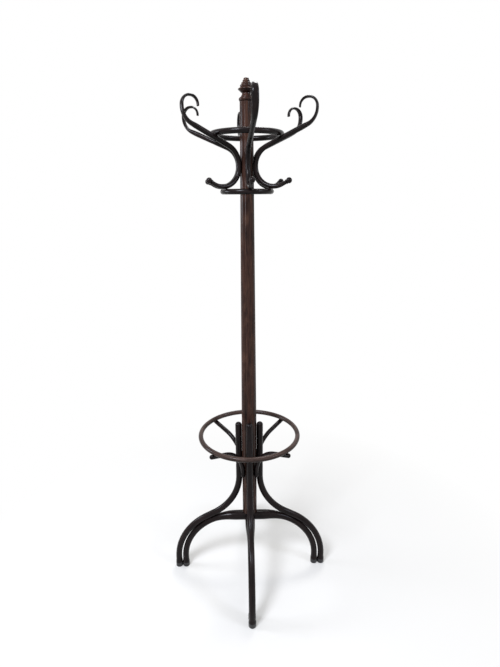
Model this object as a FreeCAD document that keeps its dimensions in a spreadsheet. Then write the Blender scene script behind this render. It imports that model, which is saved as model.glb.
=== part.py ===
"""Bentwood standing coat rack: a reeded post with six S-hooks, two rings, four S-legs, two crossed arches
and an umbrella ring on four brackets. +Z is up, the floor is z = 0 and the post stands on the Z axis.
The legs lie along +X, +Y, -X and -Y.
"""
import FreeCAD, Part
import Sketcher
import math
import os

from FreeCAD import Placement, Rotation, Vector

os.makedirs("parts", exist_ok=True)
doc = FreeCAD.newDocument("CoatRack")

# ---------------------------------------------------------------- driving dimensions, in mm and degrees

DIMENSIONS = [
    ("stand_height", 1900, "floor to the top of the finial"),
    ("leg_foot_reach", 307.5, "post axis to the middle of a leg's foot"),
    ("foot_pair_spacing", 29.5, "middle of a leg's foot to the middle of the arch's foot beside it"),
    ("seat_gap", 0.2, "air between two rods that are screwed together"),
    ("post_foot_diameter", 58, "straight lower length of the post"),
    ("post_rim_bevel", 2, "bevel around the bottom of the post"),
    ("post_top_diameter", 43.6, "post under the finial"),
    ("reed_count", 8, "reeds around the post"),
    ("groove_radius", 4, "round cutter between two reeds"),
    ("groove_depth", 1.5, "depth of the groove between two reeds"),
    ("finial_height", 70, "post top to finial top"),
    ("finial_collar_radius", 24.8, "bead that sits on the post"),
    ("finial_collar_height", 13, "thickness of the bead"),
    ("finial_collar_round", 4, "bevel of the bead's edges"),
    ("finial_neck_radius", 14.2, "waist above the bead"),
    ("finial_neck_flare", 3.8, "how much wider the waist is just above the bead"),
    ("finial_neck_height", 23.5, "height of the middle of the waist"),
    ("finial_neck_half", 1.5, "half of the straight part of the waist"),
    ("finial_disc_radius", 26.9, "wide disc above the waist"),
    ("finial_disc_height", 36.3, "height of the disc's edge"),
    ("finial_disc_half", 1.5, "half thickness of the disc's edge"),
    ("finial_disc_rise", 5.7, "disc's edge up to the foot of the tiers"),
    ("finial_tier_radius", 20, "lowest of the three tiers above the disc"),
    ("finial_tier_drop", 4.1, "each tier is this much smaller in radius"),
    ("finial_tier_height", 6.8, "height of one tier"),
    ("finial_tier_lean", 0.9, "how much a tier narrows towards its top"),
    ("finial_button_radius", 8.8, "button on top of the tiers"),
    ("finial_button_bevel", 3.6, "bevel around the button's top"),
    ("dowel_diameter", 12, "dowel between post and finial"),
    ("dowel_length", 48, "whole dowel"),
    ("dowel_in_finial", 16, "length of dowel inside the finial"),
    ("fit_clearance", 0.1, "air around a dowel, bolt or screw in its hole"),
    ("hook_count", 6, "hooks around the post"),
    ("hook_turn", 35, "first hook, turned from the +X leg"),
    ("hook_diameter", 16.8, "hook rod where it is round"),
    ("hook_drop", 196, "post top down to where the hooks touch the post"),
    ("hook_reach", 236.5, "post axis to the outermost middle line of a scroll"),
    ("hook_rise", 195, "touching point up to the top of the scroll"),
    ("front_hook_rise", 207, "the same on the hook above the front leg, which is bent taller"),
    ("hook_land", 2, "straight length of a hook against the post"),
    ("hook_run_angle", 22.8, "slope of the hook's long upper run"),
    ("hook_upper_bend", 65, "bend from the post into the upper run"),
    ("hook_elbow_bend", 49.5, "bend from the upper run into the scroll"),
    ("scroll_outer_bend", 27.7, "outer half of the scroll"),
    ("scroll_inner_bend", 24.5, "inner half of the scroll"),
    ("scroll_width", 55.5, "scroll, between its middle lines"),
    ("scroll_tip_length", 29, "top of the scroll down to its tip"),
    ("scroll_broad", 21, "scroll section across the hook, where it is broadest"),
    ("scroll_thick", 8, "scroll section, through the bend"),
    ("tip_broad", 13, "tip section, across the hook"),
    ("tip_thick", 6, "tip section, through the bend"),
    ("tip_length", 44, "tip up to the scroll's full thickness"),
    ("flat_length", 106, "tip to the broadest section"),
    ("round_length", 178, "tip to where the rod is round again"),
    ("cup_bend", 63.4, "bend of the lower cup beside the post"),
    ("cup_end_bend", 61, "bend of the cup towards its ball"),
    ("cup_turn_reach", 114.5, "post axis to the corner of the cup's last bend"),
    ("cup_rise_angle", 27, "slope of the cup's last run"),
    ("cup_reach", 149.4, "post axis to the middle of the ball"),
    ("cup_end_diameter", 12.5, "rod beside the ball"),
    ("ball_diameter", 19.6, "ball on the end of the cup"),
    ("ball_pin_diameter", 8.4, "thin part between the rod, the collar and the ball"),
    ("collar_diameter", 16, "collar beside the ball"),
    ("collar_thickness", 3, "collar beside the ball"),
    ("top_ring_reach", 114.5, "middle line of the large ring"),
    ("top_ring_diameter", 18.4, "rod of the large ring"),
    ("small_ring_reach", 82.2, "middle line of the small ring"),
    ("small_ring_diameter", 18, "rod of the small ring"),
    ("leg_count", 4, "legs, and brackets between them"),
    ("leg_diameter", 25.6, "leg rod"),
    ("leg_top_height", 685, "floor to the leg's rounded top"),
    ("front_leg_top_height", 700, "the same on the front leg, which reaches higher up the post"),
    ("leg_upper_screw_drop", 48, "side leg's top down to the upper screws"),
    ("leg_lower_screw_drop", 188, "side leg's top down to the lower screws"),
    ("leg_slope", 28, "slope of the leg's middle run"),
    ("leg_upper_bend", 200, "bend from the post into the middle run"),
    ("leg_lower_bend", 230, "bend from the middle run to the foot"),
    ("leg_end_round", 11.5, "rounding of the leg's top"),
    ("arch_diameter", 25.6, "arch rod beside the leg"),
    ("arch_crown_diameter", 40, "arch where it carries the post"),
    ("arch_crown_half", 50, "half length of the thick crown"),
    ("arch_crown_height", 251, "floor to the middle line of the crown"),
    ("arch_bend", 205, "bend from the crown to the foot"),
    ("cap_diameter", 29.1, "foot cap"),
    ("cap_height", 20, "foot cap"),
    ("cap_floor", 5, "thickness under the rod's end"),
    ("cap_edge", 2.5, "bevel under the cap"),
    ("flare_height", 16, "flare of the rod above its cap"),
    ("bolt_diameter", 10, "centre bolt"),
    ("bolt_in_post", 75, "length of bolt inside the post"),
    ("bolt_head_across", 17, "hexagon head across its flats"),
    ("bolt_head_height", 6.5, "hexagon head"),
    ("washer_diameter", 30, "washer under the crossing"),
    ("washer_thickness", 2.5, "washer under the crossing"),
    ("umbrella_ring_reach", 191, "middle line of the umbrella ring"),
    ("umbrella_ring_diameter", 18.5, "rod of the umbrella ring"),
    ("bracket_diameter", 17.5, "bracket rod"),
    ("bracket_bend", 130, "bend of the bracket beside the post"),
    ("bracket_slope", 17, "slope of the bracket's outer run"),
    ("bracket_corner_height", 568, "floor to the corner of the bracket's middle lines"),
    ("bracket_foot_height", 453, "floor to the bracket's lower end"),
    ("bracket_overhang", 16, "bracket beyond the ring's middle line"),
    ("bracket_end_round", 6, "rounding of the bracket's ends"),
    ("screw_in_post", 18, "length of a screw inside the post"),
    ("thin_screw_diameter", 4, "shank of a hook or ring screw"),
    ("thin_head_diameter", 8, "head of a hook or ring screw"),
    ("thick_screw_diameter", 5, "shank of a leg or bracket screw"),
    ("thick_head_diameter", 10, "head of a leg or bracket screw"),
    ("head_height", 2.6, "height of a screw head"),
    ("head_depth", 1, "screw head below the rod's skin"),
    ("screw_tip_cover", 5, "wood left beyond a screw's tip"),
    ("station_spacing", 16, "between two sections of a tapering rod"),
]

sheet = doc.addObject("Spreadsheet::Sheet", "Sizes")
for row, (alias, value, note) in enumerate(DIMENSIONS, start=1):
    sheet.set(f"A{row}", note)
    sheet.set(f"B{row}", str(value))
    sheet.setAlias(f"B{row}", alias)
doc.recompute()


def size(expression):
    """The value of an expression in the sheet's aliases, such as "stand_height / 2"."""
    return float(sheet.evalExpression(expression))


def bound(expression):
    """The same expression for setExpression, with the sheet's name before every alias."""
    words = expression.replace("(", "( ").replace(")", " )").split()
    aliases = {alias for alias, _, _ in DIMENSIONS}
    return " ".join(f"Sizes.{word}" if word in aliases else word for word in words)


# ---------------------------------------------------------------- helpers for bodies, rods and screws

parts = {}
post_axis = Vector(0, 0, 1)

# A section this much broader than thick keeps its long axis sideways where the rod is round.
ROUND_SECTION = 1.0001

# Turns the seams of a screw's round faces away from the seams of the rod it sits in.
SCREW_TURN = 37


def register(label, item, placement=Placement()):
    """Names a finished sub-part and puts it in its place."""
    item.Label = label
    item.Placement = placement
    parts[label] = item
    return item


def shaped(label, shape, placement=Placement()):
    """A sub-part whose shape is worked out here from the sheet's values."""
    item = doc.addObject("Part::Feature", label)
    item.Shape = shape
    return register(label, item, placement)


def turn(angle):
    """A turn about the post's axis, in degrees."""
    return Placement(Vector(), Rotation(post_axis, angle))


def origin_plane(body, role):
    """One of a body's own origin planes."""
    return next(item for item in body.Origin.OriginFeatures if item.Role == role)


def new_sketch(body, name, role):
    """An empty sketch on one of the body's own origin planes."""
    sketch = body.newObject("Sketcher::SketchObject", name)
    sketch.AttachmentSupport = [(origin_plane(body, role), "")]
    sketch.MapMode = "FlatFace"
    return sketch


def hold_point(sketch, edge, end, across, up):
    """Ties one end of a sketch edge to the origin by two expressions."""
    for kind, axis, expression in (("DistanceX", -2, across), ("DistanceY", -1, up)):
        value = size(expression)
        if value == 0:
            sketch.addConstraint(Sketcher.Constraint("PointOnObject", edge, end, axis))
            continue
        index = sketch.addConstraint(Sketcher.Constraint(kind, -1, 1, edge, end, value))
        sketch.setExpression(f"Constraints[{index}]", bound(expression))


def turned_body(name, outline):
    """A body turned about its Z axis from an outline of (radius, height) expressions."""
    body = doc.addObject("PartDesign::Body", name)
    sketch = new_sketch(body, f"{name}Outline", "XZ_Plane")
    corners = [Vector(size(across), size(up), 0) for across, up in outline]
    count = len(corners)
    for index in range(count):
        sketch.addGeometry(Part.LineSegment(corners[index], corners[(index + 1) % count]), False)
    for index in range(count):
        sketch.addConstraint(Sketcher.Constraint("Coincident", index, 2, (index + 1) % count, 1))
    for index, (across, up) in enumerate(outline):
        hold_point(sketch, index, 1, across, up)
    lathe = body.newObject("PartDesign::Revolution", f"{name}Turning")
    lathe.Profile = sketch
    lathe.ReferenceAxis = (sketch, ["V_Axis"])
    lathe.Angle = 360
    doc.recompute()
    return body


def bend_path(corners, bends):
    """A wire of straight runs through the corners, joined by tangent arcs of the given radii."""
    edges = []
    start = corners[0]
    for before, corner, after, radius in zip(corners, corners[1:], corners[2:], bends):
        back = (before - corner).normalize()
        onward = (after - corner).normalize()
        half = back.getAngle(onward) / 2
        first = corner + back * (radius / math.tan(half))
        last = corner + onward * (radius / math.tan(half))
        middle = corner + (back + onward).normalize() * (radius / math.sin(half) - radius)
        if (first - start).Length > 1e-6:
            edges.append(Part.LineSegment(start, first).toShape())
        edges.append(Part.Arc(first, middle, last).toShape())
        start = last
    edges.append(Part.LineSegment(start, corners[-1]).toShape())
    return Part.Wire(edges)


def stations(path, spacing):
    """Evenly spaced (distance, point, tangent) along a path, both ends included."""
    found = []
    travelled = 0
    for edge in path.OrderedEdges:
        count = max(1, round(edge.Length / spacing))
        for step in range(count):
            along = edge.Length * step / count
            place = edge.getParameterByLength(along)
            found.append((travelled + along, edge.valueAt(place), edge.tangentAt(place)))
        travelled += edge.Length
    last = path.OrderedEdges[-1]
    found.append((travelled, last.valueAt(last.LastParameter), last.tangentAt(last.LastParameter)))
    return found


def section(point, tangent, thick, broad):
    """An oval across the path: thick within the plane of the bend, broad across it."""
    sideways = Vector(0, 1, 0)
    inward = tangent.cross(sideways).normalize()
    side_point = point + sideways * (broad * ROUND_SECTION / 2)
    oval = Part.Ellipse(side_point, point + inward * (thick / 2), point)
    return Part.Wire(oval.toShape())


def tapered_rod(path, thick_at, broad_at):
    """A solid rod along a path in the XZ plane, whose section follows two functions of the distance."""
    rings = [
        section(point, tangent, thick_at(distance), broad_at(distance))
        for distance, point, tangent in stations(path, size("station_spacing"))
    ]
    return Part.makeLoft(rings, True, False)


def even_rod(path, diameter, rounds):
    """A solid rod of one diameter along a path, its free ends rounded where a radius is given."""
    first = path.OrderedEdges[0]
    start = first.valueAt(first.FirstParameter)
    ring = Part.Wire(Part.Circle(start, first.tangentAt(first.FirstParameter), diameter / 2).toShape())
    rod = path.makePipeShell([ring], True, False)
    for point, radius in rounds:
        rim = min(rod.Edges, key=lambda edge: edge.CenterOfMass.distanceToPoint(point))
        rod = rod.makeFillet(radius, [rim])
    return rod


def ramp(distance, stops):
    """A value that runs straight between (distance, value) stops."""
    if distance <= stops[0][0]:
        return stops[0][1]
    for (near, low), (far, high) in zip(stops, stops[1:]):
        if distance <= far:
            return low + (high - low) * (distance - near) / (far - near)
    return stops[-1][1]


def screw_solid(shank, head, height, length, grown=0):
    """A countersunk screw along +Z with the flat of its head at the origin. Grown, it is its own hole."""
    seat = Part.makeCone(head / 2 + grown, shank / 2 + grown, height)
    stem = Part.makeCylinder(shank / 2 + grown, length - height + grown, Vector(0, 0, height))
    return seat.fuse(stem).removeSplitter()


class Fastening:
    """One kind of screw: where it sits in the XZ plane and how it repeats around the post."""

    def __init__(self, point, direction, kind, length, turns):
        shank = size(f"{kind}_screw_diameter")
        head = size(f"{kind}_head_diameter")
        height = size("head_height")
        depth = size("head_depth")
        clearance = size("fit_clearance")
        recess = Part.makeCylinder(head / 2 + clearance, depth * 2, Vector(0, 0, -depth * 2))
        facing = Rotation(post_axis, direction).multiply(Rotation(post_axis, SCREW_TURN))
        place = Placement(point + direction * depth, facing)
        self.screw = screw_solid(shank, head, height, length)
        self.hole = screw_solid(shank, head, height, length, clearance).fuse(recess)
        self.screw.Placement = place
        self.hole.Placement = place
        self.turns = turns

    def repeated(self, solid):
        """Copies of a solid at each of the turns."""
        copies = []
        for angle in self.turns:
            copy = solid.copy()
            copy.rotate(Vector(), post_axis, angle)
            copies.append(copy)
        return copies

    def screws(self):
        """All screws of this kind as one group."""
        return Part.makeCompound(self.repeated(self.screw))

    def holes(self):
        """The holes of all screws of this kind."""
        return self.repeated(self.hole)


def even_turns(count, first=0):
    """Evenly spaced directions around the post, in degrees."""
    return [first + 360 * step / count for step in range(count)]


# ---------------------------------------------------------------- places that several pieces share

hook_count = int(size("hook_count"))
leg_count = int(size("leg_count"))
seat_gap = size("seat_gap")
post_top = size("stand_height - finial_height")
post_foot_radius = size("post_foot_diameter") / 2
hook_turns = even_turns(hook_count, size("hook_turn"))
leg_turns = even_turns(leg_count)
bracket_turns = even_turns(leg_count, 180 / leg_count)


def post_radius(height):
    """Radius of the post over its reeds: straight beside the legs, then tapering to the top."""
    straight_top = size("leg_top_height")
    return ramp(height, [(straight_top, post_foot_radius), (post_top, size("post_top_diameter") / 2)])


def front_turn(turns):
    """The direction in a list that lies nearest to the front, which is -Y."""
    return min(turns, key=lambda angle: abs(angle % 360 - 270))


# ---------------------------------------------------------------- hooks

hook_radius = size("hook_diameter") / 2
contact = post_top - size("hook_drop")
hook_run = post_radius(contact) + hook_radius + seat_gap
run_angle = math.radians(size("hook_run_angle"))
half_land = size("hook_land") / 2
upper_bend = size("hook_upper_bend")
cup_bend = size("cup_bend")
upper_corner = contact + half_land + upper_bend * math.tan((math.pi / 2 - run_angle) / 2)
cup_height = contact - half_land - cup_bend
cup_turn = size("cup_turn_reach")
cup_slope = math.tan(math.radians(size("cup_rise_angle")))
cup_heading = Vector(1, 0, cup_slope).normalize()
ball_radius = size("ball_diameter") / 2
ball_reach = size("cup_reach")
ball_middle = Vector(ball_reach, 0, cup_height + cup_slope * (ball_reach - cup_turn))
collar_thickness = size("collar_thickness")
neck_start = ball_middle - cup_heading * (ball_radius + collar_thickness)


def hook_run_height(reach):
    """Height of the upper run's middle line at a distance from the post's axis."""
    return upper_corner + math.tan(run_angle) * (reach - hook_run)


def hook_path(rise):
    """Middle line of a hook whose scroll tops out at a rise above the touching point."""
    outside = size("hook_reach")
    inside = outside - size("scroll_width")
    corners = [
        (inside, contact + rise - size("scroll_tip_length")),
        (inside, contact + rise),
        (outside, contact + rise),
        (outside, hook_run_height(outside)),
        (hook_run, upper_corner),
        (hook_run, cup_height),
        (cup_turn, cup_height),
        (neck_start.x, neck_start.z),
    ]
    bends = [
        size("scroll_inner_bend"),
        size("scroll_outer_bend"),
        size("hook_elbow_bend"),
        upper_bend,
        cup_bend,
        size("cup_end_bend"),
    ]
    return bend_path([Vector(reach, 0, height) for reach, height in corners], bends)


def hook_section(length, tip, full, full_from):
    """One of a hook's two section sizes as a function of the distance from its tip."""
    stops = [
        (0, tip),
        (full_from, full),
        (size("flat_length"), full),
        (size("round_length"), size("hook_diameter")),
        (length - cup_bend, size("hook_diameter")),
        (length, size("cup_end_diameter")),
    ]
    return lambda distance: ramp(distance, stops)


def hook_ball():
    """The ball at the cup's end, with its collar and the thin pin that runs through both."""
    pin_length = ball_radius + collar_thickness * 2
    pin = Part.makeCylinder(size("ball_pin_diameter") / 2, pin_length, neck_start, cup_heading)
    pin.translate(cup_heading * -collar_thickness)
    collar = Part.makeCylinder(size("collar_diameter") / 2, collar_thickness * 2, neck_start, cup_heading)
    collar.translate(cup_heading * (-collar_thickness / 2))
    return Part.makeSphere(ball_radius, ball_middle, cup_heading).fuse([pin, collar])


def hook_shape(rise, holes):
    """A whole hook along +X, drilled for its three screws."""
    path = hook_path(rise)
    thick_at = hook_section(path.Length, size("tip_thick"), size("scroll_thick"), size("tip_length"))
    broad_at = hook_section(path.Length, size("tip_broad"), size("scroll_broad"), size("flat_length"))
    return tapered_rod(path, thick_at, broad_at).fuse(hook_ball()).cut(holes)


top_ring_radius = size("top_ring_diameter") / 2
top_ring_reach = size("top_ring_reach")
top_ring_lift = (hook_radius + top_ring_radius + seat_gap) / math.cos(run_angle)
top_ring_height = hook_run_height(top_ring_reach) + top_ring_lift
across_run = Vector(-math.sin(run_angle), 0, math.cos(run_angle))
top_ring_middle = Vector(top_ring_reach, 0, top_ring_height)

small_ring_radius = size("small_ring_diameter") / 2
small_ring_reach = size("small_ring_reach")
ring_off_cup = hook_run + cup_bend - small_ring_reach
cup_at_ring = contact - half_land - math.sqrt(cup_bend**2 - ring_off_cup**2)
small_ring_height = cup_at_ring - hook_radius - small_ring_radius - seat_gap

hook_post_screw = Fastening(
    Vector(hook_run + hook_radius, 0, contact),
    Vector(-1, 0, 0),
    "thin",
    size("hook_diameter + screw_in_post - screw_tip_cover"),
    hook_turns,
)
top_ring_screw = Fastening(
    top_ring_middle - across_run * (size("hook_diameter") + top_ring_radius + seat_gap),
    across_run,
    "thin",
    size("hook_diameter + top_ring_diameter - screw_tip_cover"),
    hook_turns,
)
small_ring_screw = Fastening(
    Vector(small_ring_reach, 0, small_ring_height - small_ring_radius),
    post_axis,
    "thin",
    size("hook_diameter + small_ring_diameter - screw_tip_cover"),
    hook_turns,
)

hook_holes = [kind.hole for kind in (hook_post_screw, top_ring_screw, small_ring_screw)]
front_hook_turn = front_turn(hook_turns)
for number, angle in enumerate(hook_turns, start=1):
    rise = size("front_hook_rise" if angle == front_hook_turn else "hook_rise")
    shaped(f"hook_{number}", hook_shape(rise, hook_holes), turn(angle))

shaped("hook_to_post_screws", hook_post_screw.screws())
shaped("top_ring_screws", top_ring_screw.screws())
shaped("small_ring_screws", small_ring_screw.screws())


def drilled(label, base, holes):
    """A cut of a base object by a group of drilled holes."""
    tool = doc.addObject("Part::Feature", f"{label}_drilling")
    tool.Shape = Part.makeCompound(holes)
    cut = doc.addObject("Part::Cut", label)
    cut.Base = base
    cut.Tool = tool
    doc.recompute()
    return cut


def rod_ring(label, height, holes):
    """A ring of round rod around the post, drilled for its screws. Its two sizes carry its label."""
    torus = doc.addObject("Part::Torus", f"{label}_rod")
    torus.setExpression("Radius1", f"Sizes.{label}_reach")
    torus.setExpression("Radius2", f"Sizes.{label}_diameter / 2")
    torus.Placement = Placement(Vector(0, 0, height), Rotation())
    register(label, drilled(label, torus, holes))


rod_ring("top_ring", top_ring_height, top_ring_screw.holes())
rod_ring("small_ring", small_ring_height, small_ring_screw.holes())

# ---------------------------------------------------------------- arches and legs

leg_radius = size("leg_diameter") / 2
leg_reach = size("leg_foot_reach")
leg_run = post_foot_radius + leg_radius + seat_gap
leg_slope = math.radians(size("leg_slope"))
lower_bend = size("leg_lower_bend")
arch_reach = size("leg_foot_reach - foot_pair_spacing")
arch_bend = size("arch_bend")
arch_radius = size("arch_diameter") / 2
crown_height = size("arch_crown_height")
crown_radius = size("arch_crown_diameter") / 2
crown_length = size("arch_crown_half") * 2
rod_end = size("cap_floor")
cap_top = size("cap_height")
flare_height = size("flare_height")
flare_diameter = size("cap_diameter") - seat_gap * 2

# The leg's lower bend passes the shoulder, where it rests against the arch: there the two middle lines
# lie two rod radii apart, which sets the height of the bend's middle.
arch_middle = Vector(arch_reach - arch_bend, 0, crown_height - arch_bend)
shoulder_reach = leg_reach - lower_bend + lower_bend * math.sin(leg_slope)
shoulder_apart = arch_bend + arch_radius + leg_radius + seat_gap
shoulder_rise = math.sqrt(shoulder_apart**2 - (shoulder_reach - arch_middle.x) ** 2)
shoulder = Vector(shoulder_reach, 0, arch_middle.z + shoulder_rise)
leg_low_corner = shoulder.z - math.tan(leg_slope) * (leg_reach - shoulder_reach)
leg_high_corner = shoulder.z + math.tan(leg_slope) * (shoulder_reach - leg_run)

arch_path = bend_path(
    [
        Vector(-arch_reach, 0, rod_end),
        Vector(-arch_reach, 0, crown_height),
        Vector(arch_reach, 0, crown_height),
        Vector(arch_reach, 0, rod_end),
    ],
    [arch_bend, arch_bend],
)
arch_half_length = arch_path.Length / 2
shoulder_angle = math.atan2(shoulder_rise, shoulder_reach - arch_middle.x)
shoulder_distance = arch_middle.x + arch_bend * (math.pi / 2 - shoulder_angle)
arch_stops = [
    (size("arch_crown_half"), size("arch_crown_diameter")),
    (shoulder_distance - arch_radius, size("arch_diameter")),
]


def arch_thick(distance):
    """Arch diameter: thick at the crown, slim before the leg meets it and down to its cap."""
    return ramp(abs(distance - arch_half_length), arch_stops)




def flare(reach, radius):
    """The widening of an upright rod just above its cap, its upper rim a little inside the rod."""
    inside = radius - size("fit_clearance")
    return Part.makeCone(flare_diameter / 2, inside, flare_height, Vector(reach, 0, cap_top))


leg_screw_length = size("leg_diameter + screw_in_post")
leg_post_screws = [
    Fastening(
        Vector(leg_run + leg_radius, 0, size(f"leg_top_height - {drop}")),
        Vector(-1, 0, 0),
        "thick",
        leg_screw_length,
        leg_turns,
    )
    for drop in ("leg_upper_screw_drop", "leg_lower_screw_drop")
]
outward = (shoulder - arch_middle).normalize()
shoulder_screw = Fastening(
    arch_middle + outward * (arch_bend - arch_radius),
    outward,
    "thick",
    size("arch_diameter + leg_diameter - screw_tip_cover"),
    leg_turns,
)


def leg_shape(top_height, holes):
    """A whole leg along +X from its rounded top to its capped end, drilled for its three screws."""
    top = Vector(leg_run, 0, top_height)
    corners = [
        top,
        Vector(leg_run, 0, leg_high_corner),
        Vector(leg_reach, 0, leg_low_corner),
        Vector(leg_reach, 0, rod_end),
    ]
    path = bend_path(corners, [size("leg_upper_bend"), lower_bend])
    rod = even_rod(path, size("leg_diameter"), [(top, size("leg_end_round"))])
    return rod.fuse(flare(leg_reach, leg_radius)).cut(holes)


leg_holes = [kind.hole for kind in leg_post_screws + [shoulder_screw]]
front_leg_turn = front_turn(leg_turns)
for number, angle in enumerate(leg_turns, start=1):
    top_height = size("front_leg_top_height" if angle == front_leg_turn else "leg_top_height")
    shaped(f"leg_{number}", leg_shape(top_height, leg_holes), turn(angle))


def crossing_half(side):
    """The half of the other arch, above (1) or below (-1) the middle line, that an arch makes room for."""
    bar_foot = Vector(0, -crown_length / 2, crown_height)
    bar_radius = crown_radius + size("fit_clearance")
    bar = Part.makeCylinder(bar_radius, crown_length, bar_foot, Vector(0, 1, 0))
    low_corner = Vector(-crown_length / 2, -crown_length / 2, crown_height)
    box = Part.makeBox(crown_length, crown_length, crown_length / 2, low_corner)
    if side < 0:
        box.translate(Vector(0, 0, -crown_length / 2))
    return bar.common(box)


# The two arches are halved where they cross: one keeps its upper half there, the other its lower half.
arch_flares = [flare(reach, arch_radius) for reach in (-arch_reach, arch_reach)]
arch_rod = tapered_rod(arch_path, arch_thick, arch_thick).fuse(arch_flares)
bolt_hole_foot = Vector(0, 0, crown_height - crown_length / 2)
bolt_hole = Part.makeCylinder(size("bolt_diameter / 2 + fit_clearance"), crown_length, bolt_hole_foot)
far_shoulder_hole = shoulder_screw.hole.copy()
far_shoulder_hole.rotate(Vector(), post_axis, 180)
arch_holes = [bolt_hole, shoulder_screw.hole, far_shoulder_hole]
shaped("arch_side_to_side", arch_rod.cut([crossing_half(-1)] + arch_holes))
shaped("arch_front_to_back", arch_rod.cut([crossing_half(1)] + arch_holes), turn(90))
shaped("leg_to_arch_screws", shoulder_screw.screws())
leg_screw_solids = [solid for kind in leg_post_screws for solid in kind.screws().Solids]
shaped("leg_to_post_screws", Part.makeCompound(leg_screw_solids))

# ---------------------------------------------------------------- foot caps


def cap_body(name, foot):
    """A turned cap with a socket for the end of a leg or an arch."""
    socket = f"{foot}_diameter / 2 + fit_clearance"
    return turned_body(
        name,
        [
            ("0", "0"),
            ("cap_diameter / 2 - cap_edge", "0"),
            ("cap_diameter / 2", "cap_edge"),
            ("cap_diameter / 2", "cap_height"),
            (socket, "cap_height"),
            (socket, "cap_floor"),
            ("0", "cap_floor"),
        ],
    )


for foot, reach in (("leg", leg_reach), ("arch", arch_reach)):
    for number, angle in enumerate(leg_turns, start=1):
        cap = cap_body(f"{foot.title()}Cap{number}", foot)
        place = turn(angle).multiply(Placement(Vector(reach, 0, 0), Rotation()))
        register(f"{foot}_foot_cap_{number}", cap, place)

# ---------------------------------------------------------------- umbrella ring and its brackets

bracket_radius = size("bracket_diameter") / 2
bracket_run = post_foot_radius + bracket_radius + seat_gap
bracket_slope = math.radians(size("bracket_slope"))
umbrella_reach = size("umbrella_ring_reach")
umbrella_radius = size("umbrella_ring_diameter") / 2
bracket_corner = Vector(bracket_run, 0, size("bracket_corner_height"))
bracket_foot = Vector(bracket_run, 0, size("bracket_foot_height"))


def bracket_height(reach):
    """Height of the bracket's outer run at a distance from the post's axis."""
    return bracket_corner.z + math.tan(bracket_slope) * (reach - bracket_run)


bracket_tip_reach = umbrella_reach + size("bracket_overhang")
bracket_tip = Vector(bracket_tip_reach, 0, bracket_height(bracket_tip_reach))
bracket_path = bend_path([bracket_tip, bracket_corner, bracket_foot], [size("bracket_bend")])
umbrella_lift = (bracket_radius + umbrella_radius + seat_gap) / math.cos(bracket_slope)
umbrella_height = bracket_height(umbrella_reach) + umbrella_lift
umbrella_middle = Vector(umbrella_reach, 0, umbrella_height)
across_bracket = Vector(-math.sin(bracket_slope), 0, math.cos(bracket_slope))

bracket_post_screw = Fastening(
    bracket_foot + Vector(bracket_radius, 0, size("bracket_diameter")),
    Vector(-1, 0, 0),
    "thick",
    size("bracket_diameter + screw_in_post"),
    bracket_turns,
)
umbrella_ring_screw = Fastening(
    umbrella_middle - across_bracket * (size("bracket_diameter") + umbrella_radius + seat_gap),
    across_bracket,
    "thin",
    size("bracket_diameter + umbrella_ring_diameter - screw_tip_cover"),
    bracket_turns,
)
bracket_rounds = [(end, size("bracket_end_round")) for end in (bracket_tip, bracket_foot)]
bracket_rod = even_rod(bracket_path, size("bracket_diameter"), bracket_rounds)
bracket_shape = bracket_rod.cut([bracket_post_screw.hole, umbrella_ring_screw.hole])
for number, angle in enumerate(bracket_turns, start=1):
    shaped(f"umbrella_bracket_{number}", bracket_shape, turn(angle))
rod_ring("umbrella_ring", umbrella_height, umbrella_ring_screw.holes())
shaped("bracket_to_post_screws", bracket_post_screw.screws())
shaped("umbrella_ring_screws", umbrella_ring_screw.screws())

# ---------------------------------------------------------------- post

post_bottom_text = "arch_crown_height + arch_crown_diameter / 2"
post_top_text = "stand_height - finial_height"
bolt_bore = "bolt_diameter / 2 + fit_clearance"
dowel_bore = "dowel_diameter / 2 + fit_clearance"
post_body = turned_body(
    "PostBlank",
    [
        (bolt_bore, post_bottom_text),
        ("post_foot_diameter / 2 - post_rim_bevel", post_bottom_text),
        ("post_foot_diameter / 2", f"{post_bottom_text} + post_rim_bevel"),
        ("post_foot_diameter / 2", "leg_top_height"),
        ("post_top_diameter / 2", post_top_text),
        (dowel_bore, post_top_text),
        (dowel_bore, f"{post_top_text} - dowel_length + dowel_in_finial"),
        ("0", f"{post_top_text} - dowel_length + dowel_in_finial"),
        ("0", f"{post_bottom_text} + bolt_in_post"),
        (bolt_bore, f"{post_bottom_text} + bolt_in_post"),
    ],
)

# One groove runs up the straight length and the taper, and is repeated between the reeds.
groove_out = "groove_radius - groove_depth"
groove_ends = [
    (f"post_foot_diameter / 2 + {groove_out}", post_bottom_text),
    (f"post_foot_diameter / 2 + {groove_out}", "leg_top_height"),
    (f"post_top_diameter / 2 + {groove_out}", post_top_text),
]
groove_points = [Vector(size(across), size(up), 0) for across, up in groove_ends]
groove_line = new_sketch(post_body, "GrooveLine", "XZ_Plane")
groove_line.addGeometry(Part.LineSegment(groove_points[0], groove_points[1]), False)
groove_line.addGeometry(Part.LineSegment(groove_points[1], groove_points[2]), False)
groove_line.addConstraint(Sketcher.Constraint("Coincident", 0, 2, 1, 1))
hold_point(groove_line, 0, 1, *groove_ends[0])
hold_point(groove_line, 0, 2, *groove_ends[1])
hold_point(groove_line, 1, 2, *groove_ends[2])

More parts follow.
